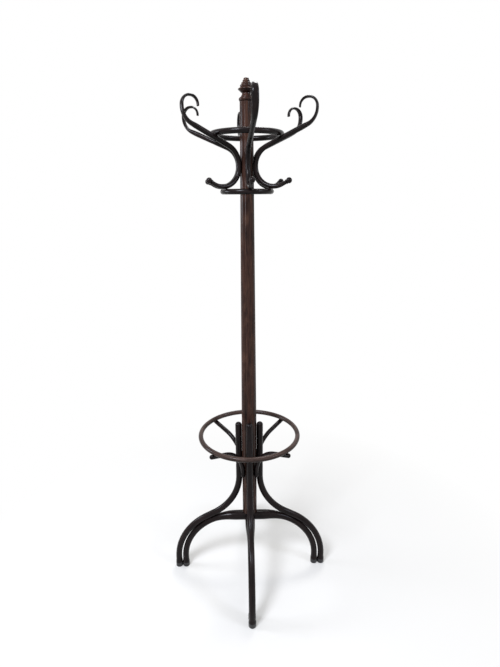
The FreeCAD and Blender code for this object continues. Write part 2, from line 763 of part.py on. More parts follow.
groove_round = new_sketch(post_body, "GrooveRound", "XY_Plane")
groove_round.AttachmentOffset = Placement(Vector(0, 0, size(post_bottom_text)), Rotation())
groove_round.setExpression("AttachmentOffset.Base.z", bound(post_bottom_text))
groove_centre = Vector(size(groove_ends[0][0]), 0, 0)
groove_round.addGeometry(Part.Circle(groove_centre, post_axis, size("groove_radius")), False)
hold_point(groove_round, 0, 3, groove_ends[0][0], "0")
radius_rule = groove_round.addConstraint(Sketcher.Constraint("Radius", 0, size("groove_radius")))
groove_round.setExpression(f"Constraints[{radius_rule}]", bound("groove_radius"))
groove = post_body.newObject("PartDesign::SubtractivePipe", "Groove")
groove.Profile = groove_round
groove.Spine = (groove_line, ["Edge1", "Edge2"])
groove.Transition = "Round corner"
doc.recompute()
reeds = post_body.newObject("PartDesign::PolarPattern", "Reeds")
reeds.Originals = [groove]
reeds.Axis = (groove_round, ["N_Axis"])
reeds.Angle = 360
reeds.setExpression("Occurrences", "Sizes.reed_count")
post_body.Tip = reeds
post_body.Placement = turn(180 / size("reed_count"))
doc.recompute()

post_fastenings = [hook_post_screw, bracket_post_screw] + leg_post_screws
post_holes = [hole for kind in post_fastenings for hole in kind.holes()]
register("post", drilled("post", post_body, post_holes))

# ---------------------------------------------------------------- finial, dowel, bolt and washer

disc_low = "finial_disc_height - finial_disc_half"
disc_high = "finial_disc_height + finial_disc_half"
tier_foot = "finial_disc_height + finial_disc_rise"
finial_outline = [
    (dowel_bore, "0"),
    ("finial_collar_radius - finial_collar_round", "0"),
    ("finial_collar_radius", "finial_collar_round"),
    ("finial_collar_radius", "finial_collar_height - finial_collar_round"),
    ("finial_collar_radius - finial_collar_round", "finial_collar_height"),
    ("finial_neck_radius + finial_neck_flare", "finial_collar_height + finial_neck_half"),
    ("finial_neck_radius", "finial_neck_height - finial_neck_half"),
    ("finial_neck_radius", "finial_neck_height + finial_neck_half"),
    ("finial_disc_radius", disc_low),
    ("finial_disc_radius", disc_high),
]
for number in range(3):
    tier_radius = f"finial_tier_radius - {number} * finial_tier_drop"
    finial_outline.append((tier_radius, f"{tier_foot} + {number} * finial_tier_height"))
    tier_top = f"{tier_foot} + {number + 1} * finial_tier_height"
    finial_outline.append((f"{tier_radius} - finial_tier_lean", tier_top))
finial_outline += [
    ("finial_button_radius", f"{tier_foot} + 3 * finial_tier_height"),
    ("finial_button_radius", "finial_height - finial_button_bevel"),
    ("finial_button_radius - finial_button_bevel", "finial_height"),
    ("0", "finial_height"),
    ("0", "dowel_in_finial"),
    (dowel_bore, "dowel_in_finial"),
]
finial = turned_body("FinialTurning", finial_outline)
register("finial", finial, Placement(Vector(0, 0, post_top), Rotation()))


def round_bar(name, diameter_text, length_text, foot):
    """A plain round bar standing on a point of the Z axis."""
    bar = doc.addObject("Part::Cylinder", name)
    bar.setExpression("Radius", bound(f"{diameter_text} / 2"))
    bar.setExpression("Height", bound(length_text))
    bar.Placement = Placement(Vector(0, 0, foot), Rotation())
    return bar


dowel_foot = post_top - size("dowel_length - dowel_in_finial")
dowel = round_bar("Dowel", "dowel_diameter", "dowel_length", dowel_foot)
register("finial_dowel", dowel, dowel.Placement)

washer_foot = crown_height - crown_radius - size("washer_thickness")
washer = doc.addObject("Part::Cut", "Washer")
washer.Base = round_bar("WasherBlank", "washer_diameter", "washer_thickness", washer_foot)
washer.Tool = round_bar(
    "WasherBore", "(bolt_diameter + fit_clearance * 2)", "washer_thickness", washer_foot
)
register("centre_washer", washer)

shank_length = "bolt_in_post + arch_crown_diameter + washer_thickness"
bolt_shank = round_bar("BoltShank", "bolt_diameter", shank_length, washer_foot)
bolt_head = doc.addObject("Part::Prism", "BoltHead")
bolt_head.Polygon = 6
bolt_head.setExpression("Circumradius", bound("bolt_head_across / sqrt(3)"))
bolt_head.setExpression("Height", bound("bolt_head_height"))
bolt_head.Placement = Placement(Vector(0, 0, washer_foot - size("bolt_head_height")), Rotation())
bolt = doc.addObject("Part::MultiFuse", "Bolt")
bolt.Shapes = [bolt_shank, bolt_head]
register("centre_bolt", bolt)

# ---------------------------------------------------------------- check and export

doc.recompute()
for item in doc.Objects:
    if "Invalid" in item.State or "Error" in item.State:
        raise RuntimeError(f"{item.Name} failed: {item.State}")
for label, item in parts.items():
    if item.Shape.isNull() or not item.Shape.isValid():
        raise RuntimeError(f"{label} has no valid shape")
for label, item in parts.items():
    item.Shape.exportStep(f"parts/{label}.step")
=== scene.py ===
"""Bentwood standing coat rack, dressed on its construction model.

A reeded post carries six S-hooks, two rings and an umbrella ring on four brackets, and stands on four
S-legs screwed to two crossed arches. Sizes are in millimetres until a mesh is finished, then in metres.
"""
import logging
import math
from dataclasses import dataclass, field
from enum import Enum
from functools import partial
from typing import Callable, Protocol, Sequence

import bmesh
import bpy
from mathutils import Matrix, Quaternion, Vector


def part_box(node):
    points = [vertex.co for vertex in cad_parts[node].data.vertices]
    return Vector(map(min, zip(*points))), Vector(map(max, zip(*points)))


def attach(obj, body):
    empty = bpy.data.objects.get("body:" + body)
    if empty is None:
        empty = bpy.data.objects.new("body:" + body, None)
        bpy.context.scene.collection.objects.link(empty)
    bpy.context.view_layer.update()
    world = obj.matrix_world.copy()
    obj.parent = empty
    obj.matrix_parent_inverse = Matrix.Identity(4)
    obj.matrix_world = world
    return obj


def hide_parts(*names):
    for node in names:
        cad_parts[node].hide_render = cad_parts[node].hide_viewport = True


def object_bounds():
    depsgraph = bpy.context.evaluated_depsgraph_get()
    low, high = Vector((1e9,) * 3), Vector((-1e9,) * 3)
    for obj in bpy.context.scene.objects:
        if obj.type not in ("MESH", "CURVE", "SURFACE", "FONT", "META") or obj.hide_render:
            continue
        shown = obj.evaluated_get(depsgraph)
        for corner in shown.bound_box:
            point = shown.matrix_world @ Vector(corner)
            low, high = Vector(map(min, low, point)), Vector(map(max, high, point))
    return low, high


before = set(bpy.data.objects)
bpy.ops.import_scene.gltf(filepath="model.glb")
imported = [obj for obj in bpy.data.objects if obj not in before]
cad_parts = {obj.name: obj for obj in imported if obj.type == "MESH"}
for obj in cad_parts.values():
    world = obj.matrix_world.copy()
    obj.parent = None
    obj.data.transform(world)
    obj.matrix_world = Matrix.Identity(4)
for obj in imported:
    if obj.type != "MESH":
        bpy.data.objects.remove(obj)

CAD_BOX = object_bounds()
BODY = "root"
MM = 0.001
POLE_GAP = 0.001
GRAIN = "grain"
WHITE = (1, 1, 1, 1)
BLACK = (0, 0, 0, 1)
UP = Vector((0, 0, 1))
SIDEWAYS = Vector((0, 1, 0))
INWARD = Vector((-1, 0, 0))
HALF_ROUND = range(-90, 91, 15)

log = logging.getLogger("coat_rack")


# ------------------------------------------------------------------------------- colours and nodes


def linear(code: str) -> tuple[float, float, float, float]:
    """Turns an sRGB hex code into the linear colour that shaders use.

    Args:
        code: six hex digits, such as "2b2023".

    Returns:
        Linear red, green, blue and an alpha of one.
    """
    channels = [int(code[place : place + 2], 16) / 255 for place in (0, 2, 4)]
    low_end, slope, offset, power = 0.04045, 12.92, 0.055, 2.4
    red, green, blue = (
        value / slope if value <= low_end else ((value + offset) / (1 + offset)) ** power
        for value in channels
    )
    return red, green, blue, 1.0


def add_node(
    tree: bpy.types.NodeTree,
    kind: str,
    settings: dict[str, object] | None = None,
    inputs: dict[str | int, object] | None = None,
) -> bpy.types.Node:
    """Adds one node with its settings, values and links.

    Args:
        tree: node tree of a material or of the world.
        kind: the node's type, such as "ShaderNodeTexNoise".
        settings: properties of the node by name.
        inputs: a plain value or another node's output for each input, by name or place.

    Returns:
        The new node.
    """
    made = tree.nodes.new(kind)
    for name, value in (settings or {}).items():
        setattr(made, name, value)
    for place, value in (inputs or {}).items():
        if isinstance(value, bpy.types.NodeSocket):
            tree.links.new(value, made.inputs[place])
        else:
            made.inputs[place].default_value = value
    return made


def blank_material(name: str) -> bpy.types.Material:
    """Makes a node material with nothing in it.

    Args:
        name: name of the material.

    Returns:
        The material.
    """
    material = bpy.data.materials.new(name)
    material.use_nodes = True
    material.node_tree.nodes.clear()
    return material


def blend_colours(
    tree: bpy.types.NodeTree, amount: object, first: object, second: object
) -> bpy.types.NodeSocket:
    """Blends two colours.

    Args:
        tree: node tree that holds the blend.
        amount: value or output that says how much of the second colour shows.
        first: colour or output under it.
        second: colour or output over it.

    Returns:
        The blended colour's output.
    """
    # On a mix node set to colours, inputs 6 and 7 and output 2 are the colours.
    mix = add_node(tree, "ShaderNodeMix", {"data_type": "RGBA"}, {0: amount, 6: first, 7: second})
    return mix.outputs[2]


def spread(
    tree: bpy.types.NodeTree,
    value: bpy.types.NodeSocket,
    low: float,
    high: float,
    top: float = 1.0,
    bottom: float = 0.0,
) -> bpy.types.NodeSocket:
    """Stretches a pattern's values so that low becomes bottom and high becomes top.

    Args:
        tree: node tree that holds the pattern.
        value: the pattern's output.
        low: value that becomes bottom.
        high: value that becomes top.
        top: the largest result.
        bottom: the smallest result.

    Returns:
        The stretched value's output.
    """
    inputs = {"Value": value, "From Min": low, "From Max": high, "To Min": bottom, "To Max": top}
    return add_node(tree, "ShaderNodeMapRange", None, inputs).outputs["Result"]


def calculate(
    tree: bpy.types.NodeTree, operation: str, first: object, second: object
) -> bpy.types.NodeSocket:
    """Works out one value from two.

    Args:
        tree: node tree that holds the step.
        operation: "ADD", "MULTIPLY" or "MAXIMUM".
        first: value or output.
        second: value or output.

    Returns:
        The result's output.
    """
    return add_node(tree, "ShaderNodeMath", {"operation": operation}, {0: first, 1: second}).outputs[0]


def relief(
    tree: bpy.types.NodeTree, height: bpy.types.NodeSocket, strength: float, depth: float
) -> bpy.types.NodeSocket:
    """Turns a pattern into relief.

    Args:
        tree: node tree that holds the relief.
        height: the pattern's output.
        strength: how much of the relief shows.
        depth: depth of the relief, in millimetres.

    Returns:
        The relief's output for a shader's normal.
    """
    inputs = {"Strength": strength, "Distance": depth * MM, "Height": height}
    return add_node(tree, "ShaderNodeBump", None, inputs).outputs["Normal"]


def object_place(tree: bpy.types.NodeTree) -> bpy.types.NodeSocket:
    """Output with the place on the object, in metres."""
    return add_node(tree, "ShaderNodeTexCoord").outputs["Object"]


def shade(material: bpy.types.Material, inputs: dict[str | int, object]) -> bpy.types.Material:
    """Ends a material with its shader.

    Args:
        material: the material, whose patterns are in place.
        inputs: values and outputs for the shader's inputs.

    Returns:
        The same material.
    """
    shader = add_node(material.node_tree, "ShaderNodeBsdfPrincipled", None, inputs)
    surface = {"Surface": shader.outputs["BSDF"]}
    add_node(material.node_tree, "ShaderNodeOutputMaterial", None, surface)
    return material


@dataclass(frozen=True)
class Pattern:
    """Noise: its patch sizes in millimetres, its finer layers, and the values that become 0 and top."""

    across: float
    along: float
    detail: float
    low: float = 0.0
    high: float = 1.0
    top: float = 1.0

    def draw(self, tree: bpy.types.NodeTree, place: bpy.types.NodeSocket) -> bpy.types.NodeSocket:
        """Draws the pattern.

        Args:
            tree: node tree that holds the pattern.
            place: output with the place in metres, whose Z runs along the grain.

        Returns:
            The pattern's value output.
        """
        scale = (1 / (self.across * MM), 1 / (self.across * MM), 1 / (self.along * MM))
        mapping = add_node(tree, "ShaderNodeMapping", None, {"Vector": place, "Scale": scale})
        inputs = {"Vector": mapping.outputs["Vector"], "Scale": 1.0, "Detail": self.detail}
        noise = add_node(tree, "ShaderNodeTexNoise", None, inputs)
        return spread(tree, noise.outputs["Fac"], self.low, self.high, self.top)


# ------------------------------------------------------------------------------- finishes


class Finish(Protocol):
    """Anything that can make a material."""

    def material(self) -> bpy.types.Material:
        """Makes the material."""
        ...


@dataclass(frozen=True)
class StainedBeech:
    """Beech rod, steamed and bent or turned, stained near black and sprayed with satin lacquer.

    The stain sinks unevenly, so the eye sees soft warm streaks along the rod under a cool, broken gloss.
    """

    name: str
    deep: str
    body: str
    worn: str
    worn_share: float
    roughness: float = 0.19
    roughness_spread: float = 0.1
    refraction: float = 1.22
    cloud: Pattern = Pattern(16, 170, 2, 0.35, 0.65)
    # Beech lines are under half a millimetre wide; they are drawn three times as coarse to show.
    lines: Pattern = Pattern(1.4, 55, 3, 0.45, 0.72)
    flecks: Pattern = Pattern(0.9, 5, 1, 0.62, 0.72)
    rubbed: Pattern = Pattern(28, 60, 4, 0.5, 0.78)
    line_share: float = 0.45
    fleck_share: float = 0.5
    line_depth: float = 0.12
    line_strength: float = 0.25

    def material(self) -> bpy.types.Material:
        """Makes the stained and lacquered wood.

        Returns:
            The material.
        """
        material = blank_material(self.name)
        tree = material.node_tree
        place = add_node(tree, "ShaderNodeAttribute", {"attribute_name": GRAIN}).outputs["Vector"]
        lines = self.lines.draw(tree, place)
        flecks = spread(tree, self.flecks.draw(tree, place), 0, 1, self.fleck_share)
        rubbed = spread(tree, self.rubbed.draw(tree, place), 0, 1, self.worn_share)
        deep, worn = linear(self.deep), linear(self.worn)
        colour = blend_colours(tree, self.cloud.draw(tree, place), deep, linear(self.body))
        colour = blend_colours(tree, spread(tree, lines, 0, 1, self.line_share), colour, worn)
        colour = blend_colours(tree, rubbed, colour, worn)
        gloss = spread(tree, lines, 0, 1, self.roughness_spread)
        inputs = {
            "Base Color": blend_colours(tree, flecks, colour, deep),
            "Roughness": calculate(tree, "ADD", gloss, self.roughness),
            "IOR": self.refraction,
            "Normal": relief(tree, lines, self.line_strength, self.line_depth),
        }
        return shade(material, inputs)


@dataclass(frozen=True)
class RawBeech:
    """Plain beech dowel with no finish: pale and dry, with short darker flecks along it."""

    name: str = "unfinished_beech"
    pale: str = "d9b58c"
    fleck: str = "b0835a"
    roughness: float = 0.75
    flecks: Pattern = Pattern(0.8, 6, 2, 0.5, 0.7)

    def material(self) -> bpy.types.Material:
        """Makes the bare wood on object coordinates, because the dowel keeps its construction mesh.

        Returns:
            The material.
        """
        material = blank_material(self.name)
        tree = material.node_tree
        flecks = self.flecks.draw(tree, object_place(tree))
        colour = blend_colours(tree, flecks, linear(self.pale), linear(self.fleck))
        return shade(material, {"Base Color": colour, "Roughness": self.roughness})


@dataclass(frozen=True)
class MouldedPlastic:
    """Moulded black polyethylene cap: a fine spark texture breaks its sheen, and it scuffs grey low down."""

    name: str
    colour: str
    scuff: str
    refraction: float = 1.5
    roughness: float = 0.6
    spark_low: float = 0.2
    spark_high: float = 0.9
    # Spark texture is about 0.15 mm; it is drawn at 0.6 mm so that it shows.
    spark: Pattern = Pattern(0.6, 0.6, 2)
    spark_depth: float = 0.1
    spark_strength: float = 0.3
    scuffs: Pattern = Pattern(9, 9, 5, 0.5, 0.8, 0.6)

    def material(self) -> bpy.types.Material:
        """Makes the moulded plastic.

        Returns:
            The material.
        """
        material = blank_material(self.name)
        tree = material.node_tree
        place = object_place(tree)
        spark = self.spark.draw(tree, place)
        scuffs = self.scuffs.draw(tree, place)
        inputs = {
            "Base Color": blend_colours(tree, scuffs, linear(self.colour), linear(self.scuff)),
            "Roughness": spread(tree, spark, self.spark_low, self.spark_high, self.roughness),
            "IOR": self.refraction,
            "Normal": relief(tree, spark, self.spark_strength, self.spark_depth),
        }
        return shade(material, inputs)


@dataclass(frozen=True)
class Steel:
    """Steel hardware, blackened or zinc plated: turned faces with a broken, slightly oily shine."""

    name: str
    colour: str
    stain: str
    roughness: float
    roughness_spread: float = 0.15
    stains: Pattern = Pattern(3, 3, 4, 0.4, 0.7)

    def material(self) -> bpy.types.Material:
        """Makes the metal.

        Returns:
            The material.
        """
        material = blank_material(self.name)
        tree = material.node_tree
        stained = self.stains.draw(tree, object_place(tree))
        gloss = spread(tree, stained, 0, 1, self.roughness_spread)
        inputs = {
            "Base Color": blend_colours(tree, stained, linear(self.colour), linear(self.stain)),
            "Metallic": 1.0,
            "Roughness": calculate(tree, "ADD", gloss, self.roughness),
        }
        return shade(material, inputs)


class Surface(Enum):
    """The finishes of this coat rack, each with a short name that the log shows."""

    BENT = "bent_beech"
    RING = "ring_beech"
    TURNED = "turned_beech"
    RAW = "raw_beech"
    CAP = "foot_cap"
    SCREW = "screw_steel"
    BOLT = "bolt_steel"


FINISHES: dict[Surface, Finish] = {
    Surface.BENT: StainedBeech("dark_stained_bent_beech", "0a0708", "160f10", "3b2d2a", 0.3),
    Surface.RING: StainedBeech("rubbed_bent_beech", "241a17", "40312b", "75625a", 0.45),
    Surface.TURNED: StainedBeech("dark_stained_turned_beech", "150c0b", "3b251f", "70503f", 0.4),
    Surface.RAW: RawBeech(),
    Surface.CAP: MouldedPlastic("moulded_black_polyethylene", "1b1a1c", "3a383a"),
    Surface.SCREW: Steel("blackened_steel", "2a2828", "161516", 0.35),
    Surface.BOLT: Steel("zinc_plated_steel", "b8b6b0", "8d8a84", 0.28),
}


# ------------------------------------------------------------------------------- routes and rods


@dataclass(frozen=True)
class Run:
    """A straight stretch of a rod's middle line."""

    start: Vector
    heading: Vector
    length: float

    def at(self, distance: float) -> tuple[Vector, Vector]:
        """Place and heading at a distance from the start."""
        return self.start + self.heading * distance, self.heading


@dataclass(frozen=True)
class Bend:
    """A circular stretch of a rod's middle line."""

    start: Vector
    heading: Vector
    inward: Vector
    radius: float
    length: float

    def at(self, distance: float) -> tuple[Vector, Vector]:
        """Place and heading at a distance from the start.

        Args:
            distance: how far from the start.

        Returns:
            The place and the heading there.
        """
        angle = distance / self.radius
        place = self.start + self.heading * (math.sin(angle) * self.radius)
        place += self.inward * ((1 - math.cos(angle)) * self.radius)
        return place, self.heading * math.cos(angle) + self.inward * math.sin(angle)


class Route:
    """A rod's middle line in the X-Z plane: straight runs joined by tangent bends."""

    def __init__(self, corners: list[tuple[float, float]], bends: list[float]) -> None:
        """Lays out the runs and bends.

        Args:
            corners: (reach, height) of each corner of the runs, from one end to the other.
            bends: radius of the bend at each inner corner.
        """
        points = [Vector((reach, 0, height)) for reach, height in corners]
        self.stretches: list[Run | Bend] = []
        start = points[0]
        for before, corner, after, radius in zip(points, points[1:], points[2:], bends):
            heading = (corner - before).normalized()
            onward = (after - corner).normalized()
            turn = heading.angle(onward)
            lead = radius * math.tan(turn / 2)
            first = corner - heading * lead
            self.stretches.append(Run(start, heading, (first - start).length))
            inward = (onward - heading * heading.dot(onward)).normalized()
            self.stretches.append(Bend(first, heading, inward, radius, radius * turn))
            start = corner + onward * lead
        last = points[-1] - start
        self.stretches.append(Run(start, last.normalized(), last.length))
        self.length = sum(stretch.length for stretch in self.stretches)

    def at(self, distance: float) -> tuple[Vector, Vector]:
        """Finds a point of the line.

        Args:
            distance: how far along the line, from its first end.

        Returns:
            The place and the heading there.
        """
        left = max(0.0, distance)
        for stretch in self.stretches[:-1]:
            if left <= stretch.length:
                return stretch.at(left)
            left -= stretch.length
        return self.stretches[-1].at(left)


@dataclass(frozen=True)
class Station:
    """One section of a rod: how far along, its size within the bend's plane and its size across it."""

    along: float
    thick: float
    broad: float


def ramp(value: float, stops: list[tuple[float, float]], soft: bool = False) -> float:
    """Reads a value from stretches between stops.

    Args:
        value: where to read.
        stops: (place, value) pairs in order.
        soft: whether soft joins take the place of corners.

    Returns:
        The value there, and the first or last one outside the stops.
    """
    if value <= stops[0][0]:
        return stops[0][1]
    for (near, low), (far, high) in zip(stops, stops[1:]):
        if value <= far:
            share = (value - near) / (far - near)
            return low + (high - low) * (share * share * (3 - 2 * share) if soft else share)
    return stops[-1][1]


def ease(value: float, stops: list[tuple[float, float]]) -> float:
    """Reads a value from stops with soft joins."""
    return ramp(value, stops, soft=True)


def arc(
    middle: tuple[float, float], radius: float, degrees: range, rise: float | None = None
) -> list[tuple[float, float]]:
    """Points of an outline along part of a circle or an upright oval.

    Args:
        middle: (radius, height) of its middle.
        radius: its radius outwards.
        degrees: directions of the points from the middle, with 0 outwards and 90 up.
        rise: its radius upwards, where that isn't the same.

    Returns:
        (radius, height) points.
    """
    upward = radius if rise is None else rise
    angles = [math.radians(value) for value in degrees]
    return [(middle[0] + radius * math.cos(turn), middle[1] + upward * math.sin(turn)) for turn in angles]


def body_stations(
    start: float, end: float, spacing: float, size_at: Callable[[float], tuple[float, float]]
) -> list[Station]:
    """Even stations between two distances, both included.

    Args:
        start: first distance.
        end: last distance.
        spacing: about how far apart the stations lie.
        size_at: thickness and breadth at a distance.

    Returns:
        The stations in order.
    """
    count = max(1, round((end - start) / spacing))
    places = [start + (end - start) * step / count for step in range(count + 1)]
    return [Station(place, *size_at(place)) for place in places]


def rounded_end(end: Station, radius: float, inward: int, steps: int = 7) -> list[Station]:
    """Stations that round a rod's end over.

    Args:
        end: the section that the rounding starts from, at the rod's very end.
        radius: radius of the rounding.
        inward: 1 where the rod goes on at larger distances, -1 where it comes from smaller ones.
        steps: how many stations the rounding has.

    Returns:
        The stations from the end face to where the rounding meets the side.
    """
    made = []
    for step in range(steps + 1):
        angle = math.pi / 2 * step / steps
        inset = radius * (1 - math.sin(angle))
        along = end.along + inward * radius * (1 - math.cos(angle))
        made.append(Station(along, end.thick - 2 * inset, end.broad - 2 * inset))
    return made


def extrude_rings(
    count: int, sides: int, place_at: Callable[[int, Vector], tuple[Vector, Vector]]
) -> bmesh.types.BMesh:
    """Extrudes a round outline from ring to ring and closes both ends.

    Args:
        count: number of rings.
        sides: number of sides of a ring.
        place_at: a corner's place, and its place in the straight blank, from the ring's number and the
            corner's place on a circle of radius 1.

    Returns:
        A closed mesh in millimetres, with the grain of its blank.
    """
    mesh = bmesh.new()
    circle = mesh.verts.layers.float_vector.new("circle")
    straight = mesh.verts.layers.float_vector.new("straight")
    ring = bmesh.ops.create_circle(mesh, cap_ends=False, segments=sides, radius=1)["verts"]
    for corner in ring:
        corner[circle] = corner.co
    first_edges = edges = list(mesh.edges)
    for number in range(count):
        if number:
            grown = bmesh.ops.extrude_edge_only(mesh, edges=edges)["geom"]
            ring = [item for item in grown if isinstance(item, bmesh.types.BMVert)]
            edges = [item for item in grown if isinstance(item, bmesh.types.BMEdge)]
        for corner in ring:
            corner.co, corner[straight] = place_at(number, corner[circle])
    for end in (first_edges, edges):
        bmesh.ops.contextual_create(mesh, geom=end)
    bmesh.ops.recalc_face_normals(mesh, faces=mesh.faces)
    grain = mesh.loops.layers.float_vector.new(GRAIN)
    straight = mesh.verts.layers.float_vector["straight"]
    for face in mesh.faces:
        for loop in face.loops:
            loop[grain] = loop.vert[straight] * MM
    for name in ("circle", "straight"):
        mesh.verts.layers.float_vector.remove(mesh.verts.layers.float_vector[name])
    return mesh


def sweep_rod(route: Route, stations: list[Station], sides: int) -> bmesh.types.BMesh:
    """Sweeps an oval along a route, with the wood's grain along it.

    Args:
        route: the rod's middle line.
        stations: the sections in order.
        sides: number of sides of the oval.

    Returns:
        A closed mesh in millimetres, with flat end faces.
    """
    middles = [route.at(station.along) for station in stations]

    def place_at(number: int, way: Vector) -> tuple[Vector, Vector]:
        """A corner's place on the rod and in its straight blank.

        Args:
            number: number of the ring.
            way: the corner's place on a circle of radius 1.

        Returns:
            Its place on the rod and in the straight blank.
        """
        station, (middle, heading) = stations[number], middles[number]
        across, inward = way.x * station.broad / 2, way.y * station.thick / 2
        place = middle + SIDEWAYS * across + heading.cross(SIDEWAYS) * inward
        return place, Vector((across, inward, station.along))

    return extrude_rings(len(stations), sides, place_at)


def upright_grain(mesh: bmesh.types.BMesh) -> None:
    """Gives a turned piece the grain of a straight blank along Z.

    Args:
        mesh: the turned mesh, in millimetres.
    """
    grain = mesh.loops.layers.float_vector.new(GRAIN)
    for face in mesh.faces:
        for loop in face.loops:
            loop[grain] = loop.vert.co * MM


def spin_round(mesh: bmesh.types.BMesh, steps: int) -> None:
    """Spins all of a mesh once round the Z axis, closes the seam and points its faces outwards.

    Args:
        mesh: the outline, which becomes the whole shape.
        steps: number of sections round the axis.
    """
    outline = mesh.verts[:] + mesh.edges[:]
    whole = {"cent": (0, 0, 0), "axis": UP, "dvec": (0, 0, 0), "angle": 2 * math.pi, "steps": steps}
    bmesh.ops.spin(mesh, geom=outline, use_merge=True, use_duplicate=False, **whole)
    bmesh.ops.remove_doubles(mesh, verts=mesh.verts, dist=POLE_GAP)
    bmesh.ops.recalc_face_normals(mesh, faces=mesh.faces)


def sweep_ring(reach: float, diameter: float, steps: int, sides: int) -> bmesh.types.BMesh:
    """Spins a rod's section round the post's axis.

    Args:
        reach: radius of the ring's middle line.
        diameter: the rod's diameter.
        steps: number of sections round the ring.
        sides: number of sides of one section.

    Returns:
        A closed mesh in millimetres round the origin.
    """
    mesh = bmesh.new()
    upright = Matrix.Translation((reach, 0, 0)) @ Matrix.Rotation(math.pi / 2, 4, "X")
    bmesh.ops.create_circle(mesh, cap_ends=False, segments=sides, radius=diameter / 2, matrix=upright)
    spin_round(mesh, steps)
    grain = mesh.loops.layers.float_vector.new(GRAIN)
    for face in mesh.faces:
        middle = face.calc_center_median()
        base = math.atan2(middle.y, middle.x)
        for loop in face.loops:
            place = loop.vert.co
            step = Vector((place.x, place.y)).angle_signed(Vector((middle.x, middle.y)))
            inward = place.to_2d().length - reach
            loop[grain] = Vector((inward, place.z, (base + step) * reach)) * MM
    return mesh


def lathe(outline: list[tuple[float, float]], steps: int) -> bmesh.types.BMesh:
    """Turns an outline round the Z axis.

    Args:
        outline: (radius, height) points from one pole or edge to the other.
        steps: number of sections round the axis.

    Returns:
        A closed mesh in millimetres.
    """
    mesh = bmesh.new()
    corners = [mesh.verts.new((radius, 0, height)) for radius, height in outline]
    for first, second in zip(corners, corners[1:]):
        mesh.edges.new((first, second))
    spin_round(mesh, steps)
    return mesh


def turned(mesh: bmesh.types.BMesh, degrees: float) -> bmesh.types.BMesh:
    """A copy of a mesh turned about the post's axis.

    Args:
        mesh: the mesh that is copied.
        degrees: the turn.

    Returns:
        The copy.
    """
    copy = mesh.copy()
    matrix = Matrix.Rotation(math.radians(degrees), 3, "Z")
    bmesh.ops.rotate(copy, cent=(0, 0, 0), matrix=matrix, verts=copy.verts)
    return copy


def carve(mesh: bmesh.types.BMesh, cutter: bmesh.types.BMesh) -> bmesh.types.BMesh:
    """Cuts one closed mesh out of another.

    Args:
        mesh: the mesh that is cut, which is used up.
        cutter: the mesh that is taken away, which is used up.

    Returns:
        What is left.
    """
    helpers = []
    for part in (mesh, cutter):
        data = bpy.data.meshes.new("carving")
        part.to_mesh(data)
        part.free()
        helpers.append(bpy.data.objects.new("carving", data))
        bpy.context.scene.collection.objects.link(helpers[-1])
    modifier = helpers[0].modifiers.new("carving", "BOOLEAN")
    modifier.operation = "DIFFERENCE"
    modifier.solver = "EXACT"
    modifier.object = helpers[1]
    carved = bmesh.new()
    carved.from_object(helpers[0], bpy.context.evaluated_depsgraph_get())
    for helper in helpers:
        bpy.data.meshes.remove(helper.data)
    return carved


@dataclass(frozen=True)
class Screw:
    """A countersunk cross-head screw and its seat, placed by the point of the skin over its head."""

    place: Vector
    heading: Vector
    head: float = 8
    shank: float = 4
    depth: float = 1
    head_height: float = 2.6
    length: float = 14
    clearance: float = 0.1
    rim: float = 0.4
    slot: float = 1.1
    slot_share: float = 0.6
    seat_above: float = 2
    seat_below: float = 4
    steps: int = 24

    def set_in(self, mesh: bmesh.types.BMesh, degrees: float) -> bmesh.types.BMesh:
        """Moves a mesh from the Z axis to the screw's place, turned about the post's axis.

        Args:
            mesh: mesh along the Z axis, which is moved.
            degrees: direction round the post, from +X.

        Returns:
            The same mesh.
        """
        facing = self.heading.to_track_quat("Z", "Y").to_matrix().to_4x4()
        spin = Matrix.Rotation(math.radians(degrees), 4, "Z")
        bmesh.ops.transform(
            mesh, matrix=spin @ Matrix.Translation(self.place) @ facing, verts=mesh.verts
        )
        return mesh

    def seat(self, degrees: float = 0) -> bmesh.types.BMesh:
        """The hole that the screw sits in, as a closed mesh that reaches out of the wood.

        Args:
            degrees: direction round the post, from +X.

        Returns:
            The hole as a closed mesh.
        """
        wide = self.head / 2 + self.clearance
        narrow = self.shank / 2 + self.clearance
        neck = self.depth + self.head_height
        top, foot = -self.seat_above, neck + self.seat_below
        outline = [(0, top), (wide, top), (wide, self.depth), (narrow, neck), (narrow, foot), (0, foot)]
        return self.set_in(lathe(outline, self.steps), degrees)

    def body(self, degrees: float = 0) -> bmesh.types.BMesh:
        """The screw itself, with a cross cut into its head.

        Args:
            degrees: direction round the post, from +X.

        Returns:
            A closed mesh.
        """
        wide, narrow = self.head / 2, self.shank / 2
        outline = [
            (0, self.depth),
            (wide - self.rim, self.depth),
            (wide, self.depth + self.rim / 2),
            (narrow, self.depth + self.head_height),
            (narrow, self.length - narrow),
            (narrow / 4, self.length),
            (0, self.length),
        ]
        screw = lathe(outline, self.steps)
        reach = self.head * self.slot_share
        for width, breadth in ((reach, self.slot), (self.slot, reach)):
            bar = bmesh.new()
            stretch = Matrix.Diagonal((width, breadth, self.head_height, 1))
            lift = Matrix.Translation((0, 0, self.depth))
            bmesh.ops.create_cube(bar, size=1, matrix=lift @ stretch)
            screw = carve(screw, bar)
        return self.set_in(screw, degrees)


def joined(meshes: list[bmesh.types.BMesh]) -> bmesh.types.BMesh:
    """Gathers several meshes in one and uses them up.

    Args:
        meshes: the meshes.

    Returns:
        The mesh that holds them all.
    """
    whole = bmesh.new()
    for mesh in meshes:
        data = bpy.data.meshes.new("gathering")
        mesh.to_mesh(data)
        mesh.free()
        whole.from_mesh(data)
        bpy.data.meshes.remove(data)
    return whole


